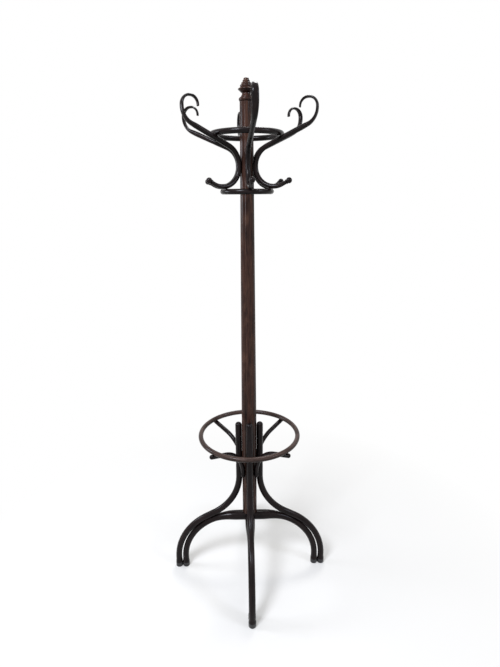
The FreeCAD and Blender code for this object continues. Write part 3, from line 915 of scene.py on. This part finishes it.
@dataclass
class Workshop:
    """Finishes meshes: scales them, shades them, gives them their material and puts them on the frame."""

    materials: dict[Surface, bpy.types.Material] = field(default_factory=dict)
    crease: float = math.radians(35)

    def material(self, surface: Surface) -> bpy.types.Material:
        """The material of a surface, made once.

        Args:
            surface: the finish.

        Returns:
            Its material.
        """
        if surface not in self.materials:
            self.materials[surface] = FINISHES[surface].material()
        return self.materials[surface]

    def dress_node(self, node: str, surface: Surface) -> None:
        """Gives a construction node that stays in view its material.

        Args:
            node: name of the node.
            surface: its finish.
        """
        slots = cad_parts[node].data.materials
        slots.clear()
        slots.append(self.material(surface))
        log.info("%s keeps its construction mesh", node)

    def fit_screws(self, node: str, screws: list[Screw], turns: Sequence[float]) -> None:
        """Makes the screws of one construction node.

        Args:
            node: name of the node that holds them all.
            screws: the screws of one direction.
            turns: directions round the post that they repeat in, in degrees.
        """
        whole = joined([screw.body(degrees) for degrees in turns for screw in screws])
        self.finish(f"{node}_cross_head", whole, Surface.SCREW, node)

    def finish(self, name: str, mesh: bmesh.types.BMesh, surface: Surface, *nodes: str) -> None:
        """Makes a finished piece from a mesh in millimetres.

        Args:
            name: name of the piece.
            mesh: its mesh, which is used up.
            surface: its finish.
            nodes: construction nodes that it stands for.
        """
        bmesh.ops.scale(mesh, vec=(MM, MM, MM), verts=mesh.verts)
        data = bpy.data.meshes.new(name)
        mesh.to_mesh(data)
        mesh.free()
        data.shade_smooth()
        data.set_sharp_from_angle(angle=self.crease)
        data.materials.append(self.material(surface))
        piece = bpy.data.objects.new(name, data)
        bpy.context.scene.collection.objects.link(piece)
        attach(piece, BODY)
        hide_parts(*nodes)
        log.info("%s: %d faces in %s", name, len(data.polygons), surface.value)


def node_box(node: str) -> tuple[Vector, Vector]:
    """Lowest and highest corner of a construction node, in millimetres."""
    low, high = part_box(node)
    return low / MM, high / MM


def ring_screw(ring: str, slope: float, rod: float, seat_gap: float) -> Screw:
    """The screw that goes through a sloping rod into the ring that lies on it.

    Args:
        ring: name of the ring's construction node.
        slope: slope of the rod, in degrees.
        rod: diameter of the rod.
        seat_gap: air between the rod and the ring.

    Returns:
        The screw along +X.
    """
    low, high = node_box(ring)
    radius = (high.z - low.z) / 2
    across = Vector((-math.sin(math.radians(slope)), 0, math.cos(math.radians(slope))))
    middle = Vector((high.x - radius, 0, low.z + radius))
    return Screw(middle - across * (rod + radius + seat_gap), across)


# ------------------------------------------------------------------------------- post and finial


@dataclass
class Post:
    """Reeded post: straight beside the legs, then a slow taper, with soft grooves between its reeds."""

    workshop: Workshop
    foot_diameter: float = 58
    top_diameter: float = 43.6
    reeds: int = 8
    groove_radius: float = 4
    groove_depth: float = 1.5
    edge_softness: float = 0.5
    rim_bevel: float = 2
    sides_per_reed: int = 26
    ring_spacing: float = 24

    def radius_at(self, height: float) -> float:
        """Radius of the post over its reeds at a height.

        Args:
            height: height above the floor.

        Returns:
            The radius there.
        """
        straight_top = node_box("leg_1")[1].z
        top = node_box("post")[1].z
        return ramp(height, [(straight_top, self.foot_diameter / 2), (top, self.top_diameter / 2)])

    def groove_at(self, radius: float, angle: float) -> float:
        """Depth of the surface under the post's round outline.

        Args:
            radius: radius of the post over its reeds.
            angle: direction from the axis, in radians.

        Returns:
            The depth there, in millimetres, with the groove's edges rounded.
        """
        pitch = 2 * math.pi / self.reeds
        off = (angle % pitch) - pitch / 2
        centre = radius + self.groove_radius - self.groove_depth
        aside = abs(centre * math.sin(off))
        if aside >= self.groove_radius:
            return 0.0
        cut = radius - (centre * math.cos(off) - math.sqrt(self.groove_radius**2 - aside**2))
        return (cut + math.sqrt(cut * cut + self.edge_softness**2)) / 2 if cut > -1 else 0.0

    def build(self) -> None:
        """Extrudes the reeded section up the post."""
        low, high = node_box("post")
        start = low.z + self.rim_bevel
        count = round((high.z - start) / self.ring_spacing)
        rings = [(low.z, self.rim_bevel)]
        rings += [(start + (high.z - start) * step / count, 0) for step in range(count + 1)]
        radii = [self.radius_at(height) for height, _ in rings]

        def place_at(number: int, way: Vector) -> tuple[Vector, Vector]:
            """A corner's place on the post, which is its own straight blank.

            Args:
                number: number of the ring.
                way: the corner's place on a circle of radius 1.

            Returns:
                Its place twice over.
            """
            height, inset = rings[number]
            reach = radii[number] - inset - self.groove_at(radii[number], math.atan2(way.y, way.x))
            place = Vector((way.x * reach, way.y * reach, height))
            return place, place

        mesh = extrude_rings(len(rings), self.reeds * self.sides_per_reed, place_at)
        self.workshop.finish("post_reeded", mesh, Surface.TURNED, "post")


@dataclass
class Finial:
    """Turned finial: bead, waist, wide disc, three shrinking tiers and a small domed button."""

    workshop: Workshop
    bead_radius: float = 24.8
    bead_height: float = 13
    flare_height: float = 13.4
    flare_radius: float = 18.2
    neck_radius: float = 14.2
    neck_low: float = 22.2
    neck_high: float = 24.7
    disc_radius: float = 26.9
    disc_height: float = 36.1
    disc_edge: float = 2
    disc_curve: float = 1.2
    tiers: int = 3
    tier_radius: float = 20
    tier_drop: float = 4.1
    tier_height: float = 6.8
    tier_round: float = 2
    tier_foot: float = 42
    tier_lean: float = 0.9
    button_radius: float = 8.8
    button_side: float = 4
    steps: int = 72

    def waist(self, steps: int = 8) -> list[tuple[float, float]]:
        """The hollow between the bead and the disc, with the disc's sloping underside.

        Args:
            steps: how many points each of its curves has.

        Returns:
            Outline points from below to above.
        """
        lead_in = [(self.flare_height, self.flare_radius), (self.neck_low, self.neck_radius)]
        points = []
        for step in range(steps + 1):
            height = self.flare_height + (self.neck_low - self.flare_height) * step / steps
            points.append((ease(height, lead_in), height))
        rim_height = self.disc_height - self.disc_edge
        rim_radius = self.disc_radius - self.disc_edge
        for step in range(steps):
            share = step / steps
            reach = self.neck_radius + (rim_radius - self.neck_radius) * share
            points.append((reach, self.neck_high + (rim_height - self.neck_high) * share**self.disc_curve))
        return points

    def tier(self, number: int) -> list[tuple[float, float]]:
        """One of the tiers, narrow at its foot and rounded over at its top.

        Args:
            number: the tier's number, from 0 at the bottom.

        Returns:
            Outline points from below to above.
        """
        reach = self.tier_radius - number * self.tier_drop
        foot = self.tier_foot + number * self.tier_height
        points = [(reach - self.tier_lean, foot), (reach, foot + self.tier_round)]
        middle = (reach - self.tier_round, foot + self.tier_height - self.tier_round)
        return points + arc(middle, self.tier_round, range(0, 91, 18))

    def outline(self, height: float) -> list[tuple[float, float]]:
        """Works out the profile.

        Args:
            height: whole height of the finial.

        Returns:
            (radius, height) points from the foot of the axis to its top.
        """
        half_bead = self.bead_height / 2
        points = [(0.0, 0.0)] + arc((self.bead_radius - half_bead, half_bead), half_bead, HALF_ROUND)
        disc_middle = (self.disc_radius - self.disc_edge, self.disc_height)
        points += self.waist() + arc(disc_middle, self.disc_edge, HALF_ROUND)
        for number in range(self.tiers):
            points += self.tier(number)
        button_foot = self.tier_foot + self.tiers * self.tier_height
        points.append((self.button_radius, button_foot))
        dome_foot = button_foot + self.button_side
        points += arc((0, dome_foot), self.button_radius, range(0, 90, 15), height - dome_foot)
        return points + [(0.0, height)]

    def build(self) -> None:
        """Turns the finial and sets it on the post."""
        low, high = node_box("finial")
        mesh = lathe(self.outline(high.z - low.z), self.steps)
        bmesh.ops.translate(mesh, vec=(0, 0, low.z), verts=mesh.verts)
        upright_grain(mesh)
        self.workshop.finish("finial_turned", mesh, Surface.TURNED, "finial")
        self.workshop.dress_node("finial_dowel", Surface.RAW)


# ------------------------------------------------------------------------------- hooks


@dataclass
class Hooks:
    """Six S-hooks: a flat scroll on top, a round rod screwed to the post and a cup with a ball below."""

    workshop: Workshop
    post: Post
    count: int = 6
    first_turn: float = 35
    front_number: int = 5
    diameter: float = 16.8
    drop: float = 196
    reach: float = 236.5
    rise: float = 195
    front_rise: float = 207
    run_angle: float = 22.8
    upper_bend: float = 65
    elbow_bend: float = 49.5
    scroll_outer_bend: float = 27.7
    scroll_inner_bend: float = 24.5
    scroll_width: float = 55.5
    scroll_tip: float = 29
    scroll_broad: float = 21
    scroll_thick: float = 8
    tip_broad: float = 13
    tip_thick: float = 6
    tip_length: float = 44
    flat_length: float = 106
    round_length: float = 178
    cup_bend: float = 63.4
    cup_end_bend: float = 61
    cup_turn_reach: float = 114.5
    cup_rise_angle: float = 27
    cup_reach: float = 149.4
    neck_diameter: float = 12.5
    collar_diameter: float = 16
    collar_thickness: float = 3
    collar_sink: float = 1.2
    collar_arc: range = range(-70, 71, 20)
    ball_arc: range = range(36, 180, 9)
    ball_diameter: float = 19.6
    seat_gap: float = 0.2
    half_land: float = 1
    flat_land: float = 0.3
    spacing: float = 4
    sides: int = 32

    def route(self, rise: float) -> Route:
        """Lays out the hook's middle line, from the scroll's tip to the far side of the ball.

        Args:
            rise: height of the scroll's top above the point that touches the post.

        Returns:
            The middle line of a hook that points along +X.
        """
        contact = node_box("post")[1].z - self.drop
        run = self.post.radius_at(contact) + self.diameter / 2 + self.seat_gap
        slope = math.radians(self.run_angle)
        corner = contact + self.half_land + self.upper_bend * math.tan((math.pi / 2 - slope) / 2)
        cup_height = contact - self.half_land - self.cup_bend
        scroll_top = contact + rise
        inside = self.reach - self.scroll_width
        cup_rise = math.tan(math.radians(self.cup_rise_angle))
        ball = Vector((self.cup_reach, cup_height + cup_rise * (self.cup_reach - self.cup_turn_reach)))
        end = ball + Vector((1, cup_rise)).normalized() * self.ball_diameter / 2
        corners = [
            (inside, scroll_top - self.scroll_tip),
            (inside, scroll_top),
            (self.reach, scroll_top),
            (self.reach, corner + math.tan(slope) * (self.reach - run)),
            (run, corner),
            (run, cup_height),
            (self.cup_turn_reach, cup_height),
            (end.x, end.y),
        ]
        bends = [
            self.scroll_inner_bend,
            self.scroll_outer_bend,
            self.elbow_bend,
            self.upper_bend,
            self.cup_bend,
            self.cup_end_bend,
        ]
        return Route(corners, bends)

    def turns(self) -> list[float]:
        """Directions of the hooks round the post, in degrees."""
        return [self.first_turn + 360 * step / self.count for step in range(self.count)]

    def size_at(self, along: float, length: float) -> tuple[float, float]:
        """Thickness and breadth of the rod.

        Args:
            along: distance from the scroll's tip.
            length: distance from the tip to the collar.

        Returns:
            Size within the bend's plane and size across it.
        """
        round_stops = [
            (self.round_length, self.diameter),
            (length - self.cup_bend, self.diameter),
            (length, self.neck_diameter),
        ]
        thick = [
            (0, self.tip_thick),
            (self.tip_length, self.scroll_thick),
            (self.flat_length, self.scroll_thick),
        ]
        broad = [(0, self.tip_broad), (self.flat_length, self.scroll_broad)]
        return ease(along, thick + round_stops), ease(along, broad + round_stops)

    def stations(self, length: float) -> list[Station]:
        """All sections of a hook.

        Args:
            length: whole length of the middle line, ball included.

        Returns:
            The stations from the tip to the ball's pole.
        """
        ball_radius = self.ball_diameter / 2
        ball_middle = length - ball_radius
        collar_end = ball_middle - ball_radius + self.collar_sink
        collar_start = collar_end - self.collar_thickness
        tip_round = self.tip_thick / 2 - self.flat_land
        tip = Station(0, self.tip_thick, self.tip_broad)
        made = rounded_end(tip, tip_round, 1)
        made += body_stations(
            tip_round + self.spacing / 2,
            collar_start,
            self.spacing,
            partial(self.size_at, length=collar_start),
        )
        half = self.collar_thickness / 2
        for degrees in self.collar_arc:
            angle = math.radians(degrees)
            width = self.collar_diameter - 2 * half * (1 - math.cos(angle))
            made.append(Station(collar_start + half + half * math.sin(angle), width, width))
        for degrees in self.ball_arc:
            angle = math.radians(degrees)
            width = self.ball_diameter * math.sin(angle)
            made.append(Station(ball_middle - ball_radius * math.cos(angle), width, width))
        made.append(Station(length, self.flat_land, self.flat_land))
        return made

    def build(self) -> None:
        """Sweeps the hooks and sets them round the post."""
        contact = node_box("post")[1].z - self.drop
        skin = self.post.radius_at(contact) + self.seat_gap + self.diameter
        post_screw = Screw(Vector((skin, 0, contact)), INWARD)
        top_screw = ring_screw("top_ring", self.run_angle, self.diameter, self.seat_gap)
        for number, degrees in enumerate(self.turns(), start=1):
            route = self.route(self.front_rise if number == self.front_number else self.rise)
            hook = sweep_rod(route, self.stations(route.length), self.sides)
            hook = carve(hook, joined([post_screw.seat(), top_screw.seat()]))
            self.workshop.finish(f"s_hook_{number}", turned(hook, degrees), Surface.BENT, f"hook_{number}")
            hook.free()
        self.workshop.fit_screws("hook_to_post_screws", [post_screw], self.turns())
        self.workshop.fit_screws("top_ring_screws", [top_screw], self.turns())


# ------------------------------------------------------------------------------- rings


@dataclass
class Ring:
    """A ring of round bent rod, its size read from its construction node."""

    workshop: Workshop
    node: str
    surface: Surface
    steps: int = 180
    sides: int = 32

    def build(self, screw_turns: list[float]) -> None:
        """Spins the ring at its height, with screws up through it where it hangs under the hooks.

        Args:
            screw_turns: directions of the screws round the post, in degrees.
        """
        low, high = node_box(self.node)
        diameter = high.z - low.z
        reach = (high.x - low.x) / 2 - diameter / 2
        mesh = sweep_ring(reach, diameter, self.steps, self.sides)
        bmesh.ops.translate(mesh, vec=(0, 0, (low.z + high.z) / 2), verts=mesh.verts)
        if screw_turns:
            screw = Screw(Vector((reach, 0, low.z)), UP)
            mesh = carve(mesh, joined([screw.seat(degrees) for degrees in screw_turns]))
            self.workshop.fit_screws(f"{self.node}_screws", [screw], screw_turns)
        self.workshop.finish(f"{self.node}_bent", mesh, self.surface, self.node)


# ------------------------------------------------------------------------------- legs and arches


@dataclass
class Stand:
    """Four S-legs screwed to the post and to two arches that cross under it, with capped feet."""

    workshop: Workshop
    post: Post
    diameter: float = 25.6
    foot_reach: float = 307.5
    pair_spacing: float = 29.5
    seat_gap: float = 0.2
    slope: float = 28
    upper_bend: float = 200
    lower_bend: float = 230
    top_round: float = 11.5
    arch_bend: float = 205
    crown_diameter: float = 40
    crown_half: float = 50
    flare_height: float = 16
    flare_diameter: float = 28.7
    flare_spacing: float = 2
    flare_step: float = 0.2
    socket_step: float = 0.3
    socket_spacing: float = 8
    socket_gap: float = 0.1
    cap_height: float = 20
    cap_floor: float = 5
    cap_diameter: float = 29.1
    cap_corner: float = 3.2
    cap_lip: float = 0.9
    cap_steps: int = 48
    screw_head: float = 10
    screw_shank: float = 5
    screw_drops: tuple[float, float] = (48, 188)
    turns: tuple[float, ...] = (0, 90, 180, 270)
    spacing: float = 6
    sides: int = 40

    def crown_height(self) -> float:
        """Height of the arches' middle line where they cross."""
        return node_box("post")[0].z - self.crown_diameter / 2

    def arch_middle(self) -> Vector:
        """Centre of an arch's bend, as reach and height."""
        reach = self.foot_reach - self.pair_spacing - self.arch_bend
        return Vector((reach, self.crown_height() - self.arch_bend))

    def shoulder(self) -> Vector:
        """Where a leg's middle line passes the arch at two rod radii, as reach and height.

        Returns:
            The reach and the height.
        """
        middle = self.arch_middle()
        slope = math.radians(self.slope)
        reach = self.foot_reach - self.lower_bend * (1 - math.sin(slope))
        apart = self.arch_bend + self.diameter + self.seat_gap
        return Vector((reach, middle.y + math.sqrt(apart**2 - (reach - middle.x) ** 2)))

    def in_cap(self) -> float:
        """Length of rod inside a cap."""
        return self.cap_height - self.cap_floor

    def flare_stops(self, cap_top: float) -> list[tuple[float, float]]:
        """Diameters along a foot, from the bare rod over the flare into the cap.

        Args:
            cap_top: distance of the cap's rim.

        Returns:
            (distance, diameter) stops.
        """
        flare_start = cap_top - self.flare_height
        in_socket = (cap_top + self.flare_step, self.diameter)
        return [(flare_start, self.diameter), (cap_top, self.flare_diameter), in_socket]

    def foot_stations(
        self, start: float, length: float, size_at: Callable[[float], tuple[float, float]]
    ) -> list[Station]:
        """Stations down to a foot's end, close together along the flare.

        Args:
            start: distance that they start from.
            length: whole length of the rod.
            size_at: thickness and breadth at a distance.

        Returns:
            The stations in order.
        """
        cap_top = length - self.in_cap()
        flare_start = cap_top - self.flare_height
        first_flare = flare_start + self.flare_spacing
        stations = body_stations(start, flare_start, self.spacing, size_at)
        stations += body_stations(first_flare, cap_top, self.flare_spacing, size_at)
        return stations + body_stations(cap_top + self.socket_step, length, self.socket_spacing, size_at)

    def leg_route(self, top: float) -> Route:
        """Lays out a leg's middle line, from its rounded top to the floor of its cap.

        Args:
            top: height of the leg's rounded top.

        Returns:
            The middle line of the leg along +X.
        """
        run = self.post.foot_diameter / 2 + self.diameter / 2 + self.seat_gap
        shoulder = self.shoulder()
        rise = math.tan(math.radians(self.slope))
        corners = [
            (run, top),
            (run, shoulder.y + rise * (shoulder.x - run)),
            (self.foot_reach, shoulder.y - rise * (self.foot_reach - shoulder.x)),
            (self.foot_reach, self.cap_floor),
        ]
        return Route(corners, [self.upper_bend, self.lower_bend])

    def leg_size(self, along: float, length: float) -> tuple[float, float]:
        """Diameter of a leg twice over, flared above its cap.

        Args:
            along: distance from the leg's top.
            length: whole length of the leg.

        Returns:
            Thickness and breadth.
        """
        width = ease(along, self.flare_stops(length - self.in_cap()))
        return width, width

    def build_legs(self) -> None:
        """Sweeps the legs and sets them round the post."""
        skin = self.post.foot_diameter / 2 + self.seat_gap + self.diameter
        side_top = node_box("leg_1")[1].z
        screws = [
            Screw(Vector((skin, 0, side_top - drop)), INWARD, self.screw_head, self.screw_shank)
            for drop in self.screw_drops
        ]
        for number, degrees in enumerate(self.turns, start=1):
            node = f"leg_{number}"
            route = self.leg_route(node_box(node)[1].z)
            size_at = partial(self.leg_size, length=route.length)
            top = Station(0, self.diameter, self.diameter)
            stations = rounded_end(top, self.top_round, 1, steps=10)
            stations += self.foot_stations(self.top_round + self.spacing, route.length, size_at)
            leg = sweep_rod(route, stations, self.sides)
            leg = carve(leg, joined([screw.seat() for screw in screws]))
            self.workshop.finish(f"s_{node}", turned(leg, degrees), Surface.BENT, node)
            leg.free()
        self.workshop.fit_screws("leg_to_post_screws", screws, self.turns)

    def arch_size(self, along: float, length: float) -> tuple[float, float]:
        """Diameter of an arch twice over: thick crown, slim shoulders, flared above the caps.

        Args:
            along: distance from one end of the arch.
            length: whole length of the arch.

        Returns:
            Thickness and breadth.
        """
        middle = self.arch_middle()
        shoulder = self.shoulder()
        angle = math.atan2(shoulder.y - middle.y, shoulder.x - middle.x)
        slim_from = middle.x + self.arch_bend * (math.pi / 2 - angle) - self.diameter / 2
        stops = [(self.crown_half, self.crown_diameter), (slim_from, self.diameter)]
        stops += self.flare_stops(length / 2 - self.in_cap())
        width = ease(abs(along - length / 2), stops)
        return width, width

    def build_arches(self) -> None:
        """Sweeps one arch and lays a second across it."""
        reach = self.foot_reach - self.pair_spacing
        crown = self.crown_height()
        corners = [(-reach, self.cap_floor), (-reach, crown), (reach, crown), (reach, self.cap_floor)]
        route = Route(corners, [self.arch_bend, self.arch_bend])
        size_at = partial(self.arch_size, length=route.length)
        cap_top = self.in_cap()
        flare_top = cap_top + self.flare_height
        last_flare = flare_top - self.flare_spacing
        stations = body_stations(0, cap_top - self.socket_step, self.socket_spacing, size_at)
        stations += body_stations(cap_top, last_flare, self.flare_spacing, size_at)
        stations += self.foot_stations(flare_top, route.length, size_at)
        middle = self.arch_middle()
        outward = (self.shoulder() - middle).normalized()
        skin = middle + outward * (self.arch_bend - self.diameter / 2)
        place, heading = Vector((skin.x, 0, skin.y)), Vector((outward.x, 0, outward.y))
        screw = Screw(place, heading, self.screw_head, self.screw_shank)
        arch = sweep_rod(route, stations, self.sides)
        arch = carve(arch, joined([screw.seat(0), screw.seat(180)]))
        self.workshop.fit_screws("leg_to_arch_screws", [screw], self.turns)
        self.workshop.finish("arch_across", turned(arch, 0), Surface.BENT, "arch_side_to_side")
        self.workshop.finish("arch_along", turned(arch, 90), Surface.BENT, "arch_front_to_back")
        arch.free()

    def cap_outline(self) -> list[tuple[float, float]]:
        """Profile of a foot cap, from the middle of its sole over the lip to the floor of its socket.

        Returns:
            (radius, height) points.
        """
        outside = self.cap_diameter / 2
        bore = self.diameter / 2 + self.socket_gap
        sole = arc((outside - self.cap_corner, self.cap_corner), self.cap_corner, range(-90, 1, 15))
        lip_middle = (outside - self.cap_lip, self.cap_height - self.cap_lip)
        points = [(0.0, 0.0)] + sole + arc(lip_middle, self.cap_lip, range(0, 91, 30))
        return points + [(bore, self.cap_height), (bore, self.cap_floor), (0.0, self.cap_floor)]

    def build_caps(self) -> None:
        """Turns one cap and puts a copy under each foot."""
        cap = lathe(self.cap_outline(), self.cap_steps)
        for foot in ("leg", "arch"):
            for number in range(1, 5):
                node = f"{foot}_foot_cap_{number}"
                low, high = node_box(node)
                copy = cap.copy()
                place = (low + high) / 2
                bmesh.ops.translate(copy, vec=(place.x, place.y, low.z), verts=copy.verts)
                self.workshop.finish(f"{node}_moulded", copy, Surface.CAP, node)
        cap.free()


# ------------------------------------------------------------------------------- brackets


@dataclass
class Brackets:
    """Four bent rods that carry the umbrella ring."""

    workshop: Workshop
    post: Post
    turns: tuple[float, ...] = (45, 135, 225, 315)
    diameter: float = 17.5
    bend: float = 130
    slope: float = 17
    corner_height: float = 568
    overhang: float = 16
    end_round: float = 6
    screw_head: float = 10
    screw_shank: float = 5
    seat_gap: float = 0.2
    spacing: float = 5
    sides: int = 32

    def size_at(self, _: float) -> tuple[float, float]:
        """Thickness and breadth, the same all along."""
        return self.diameter, self.diameter

    def build(self) -> None:
        """Sweeps one bracket and repeats it between the legs."""
        ring_low, ring_high = node_box("umbrella_ring")
        ring_reach = (ring_high.x - (ring_high.z - ring_low.z) / 2) + self.overhang
        run = self.post.foot_diameter / 2 + self.diameter / 2 + self.seat_gap
        rise = math.tan(math.radians(self.slope))
        foot = node_box("umbrella_bracket_1")[0].z
        corners = [
            (ring_reach, self.corner_height + rise * (ring_reach - run)),
            (run, self.corner_height),
            (run, foot),
        ]
        route = Route(corners, [self.bend])
        tip, foot_end = (Station(along, self.diameter, self.diameter) for along in (0, route.length))
        stations = rounded_end(tip, self.end_round, 1)
        start = self.end_round + self.spacing
        stations += body_stations(start, route.length - start, self.spacing, self.size_at)
        stations += reversed(rounded_end(foot_end, self.end_round, -1))
        skin = Vector((run + self.diameter / 2, 0, foot + self.diameter))
        post_screw = Screw(skin, INWARD, self.screw_head, self.screw_shank)
        top_screw = ring_screw("umbrella_ring", self.slope, self.diameter, self.seat_gap)
        bracket = sweep_rod(route, stations, self.sides)
        bracket = carve(bracket, joined([post_screw.seat(), top_screw.seat()]))
        for number, degrees in enumerate(self.turns, start=1):
            node = f"umbrella_bracket_{number}"
            self.workshop.finish(f"{node}_bent", turned(bracket, degrees), Surface.BENT, node)
        bracket.free()
        self.workshop.fit_screws("bracket_to_post_screws", [post_screw], self.turns)
        self.workshop.fit_screws("umbrella_ring_screws", [top_screw], self.turns)


# ------------------------------------------------------------------------------- studio


@dataclass(frozen=True)
class Lamp:
    """A soft rectangular lamp that faces the middle of the coat rack."""

    name: str
    azimuth: float
    elevation: float
    distance: float
    size: float
    watts: float
    colour: str

    def build(self, target: Vector) -> None:
        """Hangs the lamp.

        Args:
            target: the point that it faces.
        """
        data = bpy.data.lights.new(self.name, "AREA")
        data.shape = "SQUARE"
        data.size = self.size
        data.energy = self.watts
        data.color = linear(self.colour)[:3]
        lamp = bpy.data.objects.new(self.name, data)
        azimuth, elevation = math.radians(self.azimuth), math.radians(self.elevation)
        away = Vector(
            (
                math.sin(azimuth) * math.cos(elevation),
                -math.cos(azimuth) * math.cos(elevation),
                math.sin(elevation),
            )
        )
        lamp.location = target + away * self.distance
        lamp.rotation_mode = "QUATERNION"
        lamp.rotation_quaternion = (-away).to_track_quat("-Z", "Y")
        bpy.context.scene.collection.objects.link(lamp)
        log.info("lamp %s at azimuth %.0f", self.name, self.azimuth)


@dataclass
class Studio:
    """White floor and surroundings, soft lamps and the camera."""

    floor_size: float = 60
    floor_colour: str = "dedcd7"
    floor_lift: float = 0.17
    floor_near: float = 0.35
    floor_far: float = 1.3
    ambient: float = 0.36
    camera_azimuth: float = -1.15
    camera_yaw: float = -0.22
    camera_distance: float = 1.6326
    camera_height: float = 1.5468
    camera_pitch: float = -16.94
    camera_roll: float = -0.42
    lens: float = 24.79
    sensor: float = 36
    lamps: tuple[Lamp, ...] = (
        Lamp("key", -36, 46, 3.2, 0.9, 95, "eef3ff"),
        Lamp("left_side", -95, 16, 3.0, 0.9, 34, "eef3ff"),
        Lamp("fill", 60, 30, 3.4, 0.8, 30, "e6edff"),
        Lamp("overhead", 165, 62, 3.2, 0.8, 30, "ffffff"),
    )

    def seen_directly(self, tree: bpy.types.NodeTree) -> bpy.types.NodeSocket:
        """An output that is one for camera, glossy and transmitted rays, so mirrors show the same white.

        Args:
            tree: node tree of a material or of the world.

        Returns:
            The output.
        """
        rays = add_node(tree, "ShaderNodeLightPath").outputs
        seen = calculate(tree, "MAXIMUM", rays["Is Camera Ray"], rays["Is Glossy Ray"])
        return calculate(tree, "MAXIMUM", seen, rays["Is Transmission Ray"])

    def build_world(self) -> None:
        """White to the eye and in reflections, and a plain soft light for everything else."""
        world = bpy.data.worlds.new("studio")
        bpy.context.scene.world = world
        world.use_nodes = True
        tree = world.node_tree
        tree.nodes.clear()
        inputs = {"Color": WHITE, "Strength": spread(tree, self.seen_directly(tree), 0, 1, 1, self.ambient)}
        background = add_node(tree, "ShaderNodeBackground", None, inputs)
        add_node(tree, "ShaderNodeOutputWorld", None, {"Surface": background.outputs[0]})

    def build_floor(self) -> None:
        """Matt floor that a faint glow brings to white to the eye; further off it is plain white."""
        mesh = bmesh.new()
        bmesh.ops.create_grid(mesh, x_segments=1, y_segments=1, size=self.floor_size / 2)
        data = bpy.data.meshes.new("floor")
        mesh.to_mesh(data)
        mesh.free()
        material = blank_material("matt_white_floor")
        tree = material.node_tree
        away = add_node(tree, "ShaderNodeVectorMath", {"operation": "LENGTH"}, {0: object_place(tree)})
        far = spread(tree, away.outputs["Value"], self.floor_near, self.floor_far)
        colour = blend_colours(tree, far, linear(self.floor_colour), BLACK)
        diffuse = add_node(tree, "ShaderNodeBsdfDiffuse", None, {"Color": colour})
        white = spread(tree, far, 0, 1, 1, self.floor_lift)
        seen = calculate(tree, "MULTIPLY", white, self.seen_directly(tree))
        glow = add_node(tree, "ShaderNodeEmission", None, {"Color": WHITE, "Strength": seen})
        both = {0: diffuse.outputs[0], 1: glow.outputs[0]}
        total = add_node(tree, "ShaderNodeAddShader", None, both)
        add_node(tree, "ShaderNodeOutputMaterial", None, {"Surface": total.outputs[0]})
        data.materials.append(material)
        floor = bpy.data.objects.new("floor", data)
        bpy.context.scene.collection.objects.link(floor)

    def build_camera(self) -> None:
        """Sets the camera in front of the post, a little to its left, looking down."""
        data = bpy.data.cameras.new("camera")
        data.lens = self.lens
        data.sensor_width = self.sensor
        camera = bpy.data.objects.new("camera", data)
        azimuth = math.radians(self.camera_azimuth)
        camera.location = (
            math.sin(azimuth) * self.camera_distance,
            -math.cos(azimuth) * self.camera_distance,
            self.camera_height,
        )
        heading = azimuth + math.radians(self.camera_yaw)
        level = Quaternion(UP, heading) @ Quaternion((1, 0, 0), math.radians(90 + self.camera_pitch))
        camera.rotation_mode = "QUATERNION"
        camera.rotation_quaternion = level @ Quaternion((0, 0, 1), math.radians(self.camera_roll))
        bpy.context.scene.collection.objects.link(camera)
        bpy.context.scene.camera = camera

    def build(self) -> None:
        """Builds the surroundings, the lamps and the camera."""
        bpy.context.scene.view_settings.view_transform = "Standard"
        self.build_world()
        self.build_floor()
        target = (CAD_BOX[0] + CAD_BOX[1]) / 2
        for lamp in self.lamps:
            lamp.build(target)
        self.build_camera()


def main() -> None:
    """Builds every sub-assembly in order, then the studio."""
    logging.basicConfig(level=logging.INFO, format="%(name)s: %(message)s")
    workshop = Workshop()
    post = Post(workshop)
    hooks = Hooks(workshop, post)
    stand = Stand(workshop, post)
    post.build()
    Finial(workshop).build()
    hooks.build()
    Ring(workshop, "top_ring", Surface.BENT).build([])
    Ring(workshop, "small_ring", Surface.BENT).build(hooks.turns())
    stand.build_legs()
    stand.build_arches()
    stand.build_caps()
    Brackets(workshop, post).build()
    Ring(workshop, "umbrella_ring", Surface.RING, steps=240).build([])
    workshop.dress_node("centre_bolt", Surface.BOLT)
    workshop.dress_node("centre_washer", Surface.BOLT)
    Studio().build()


if __name__ == "__main__":
    main()
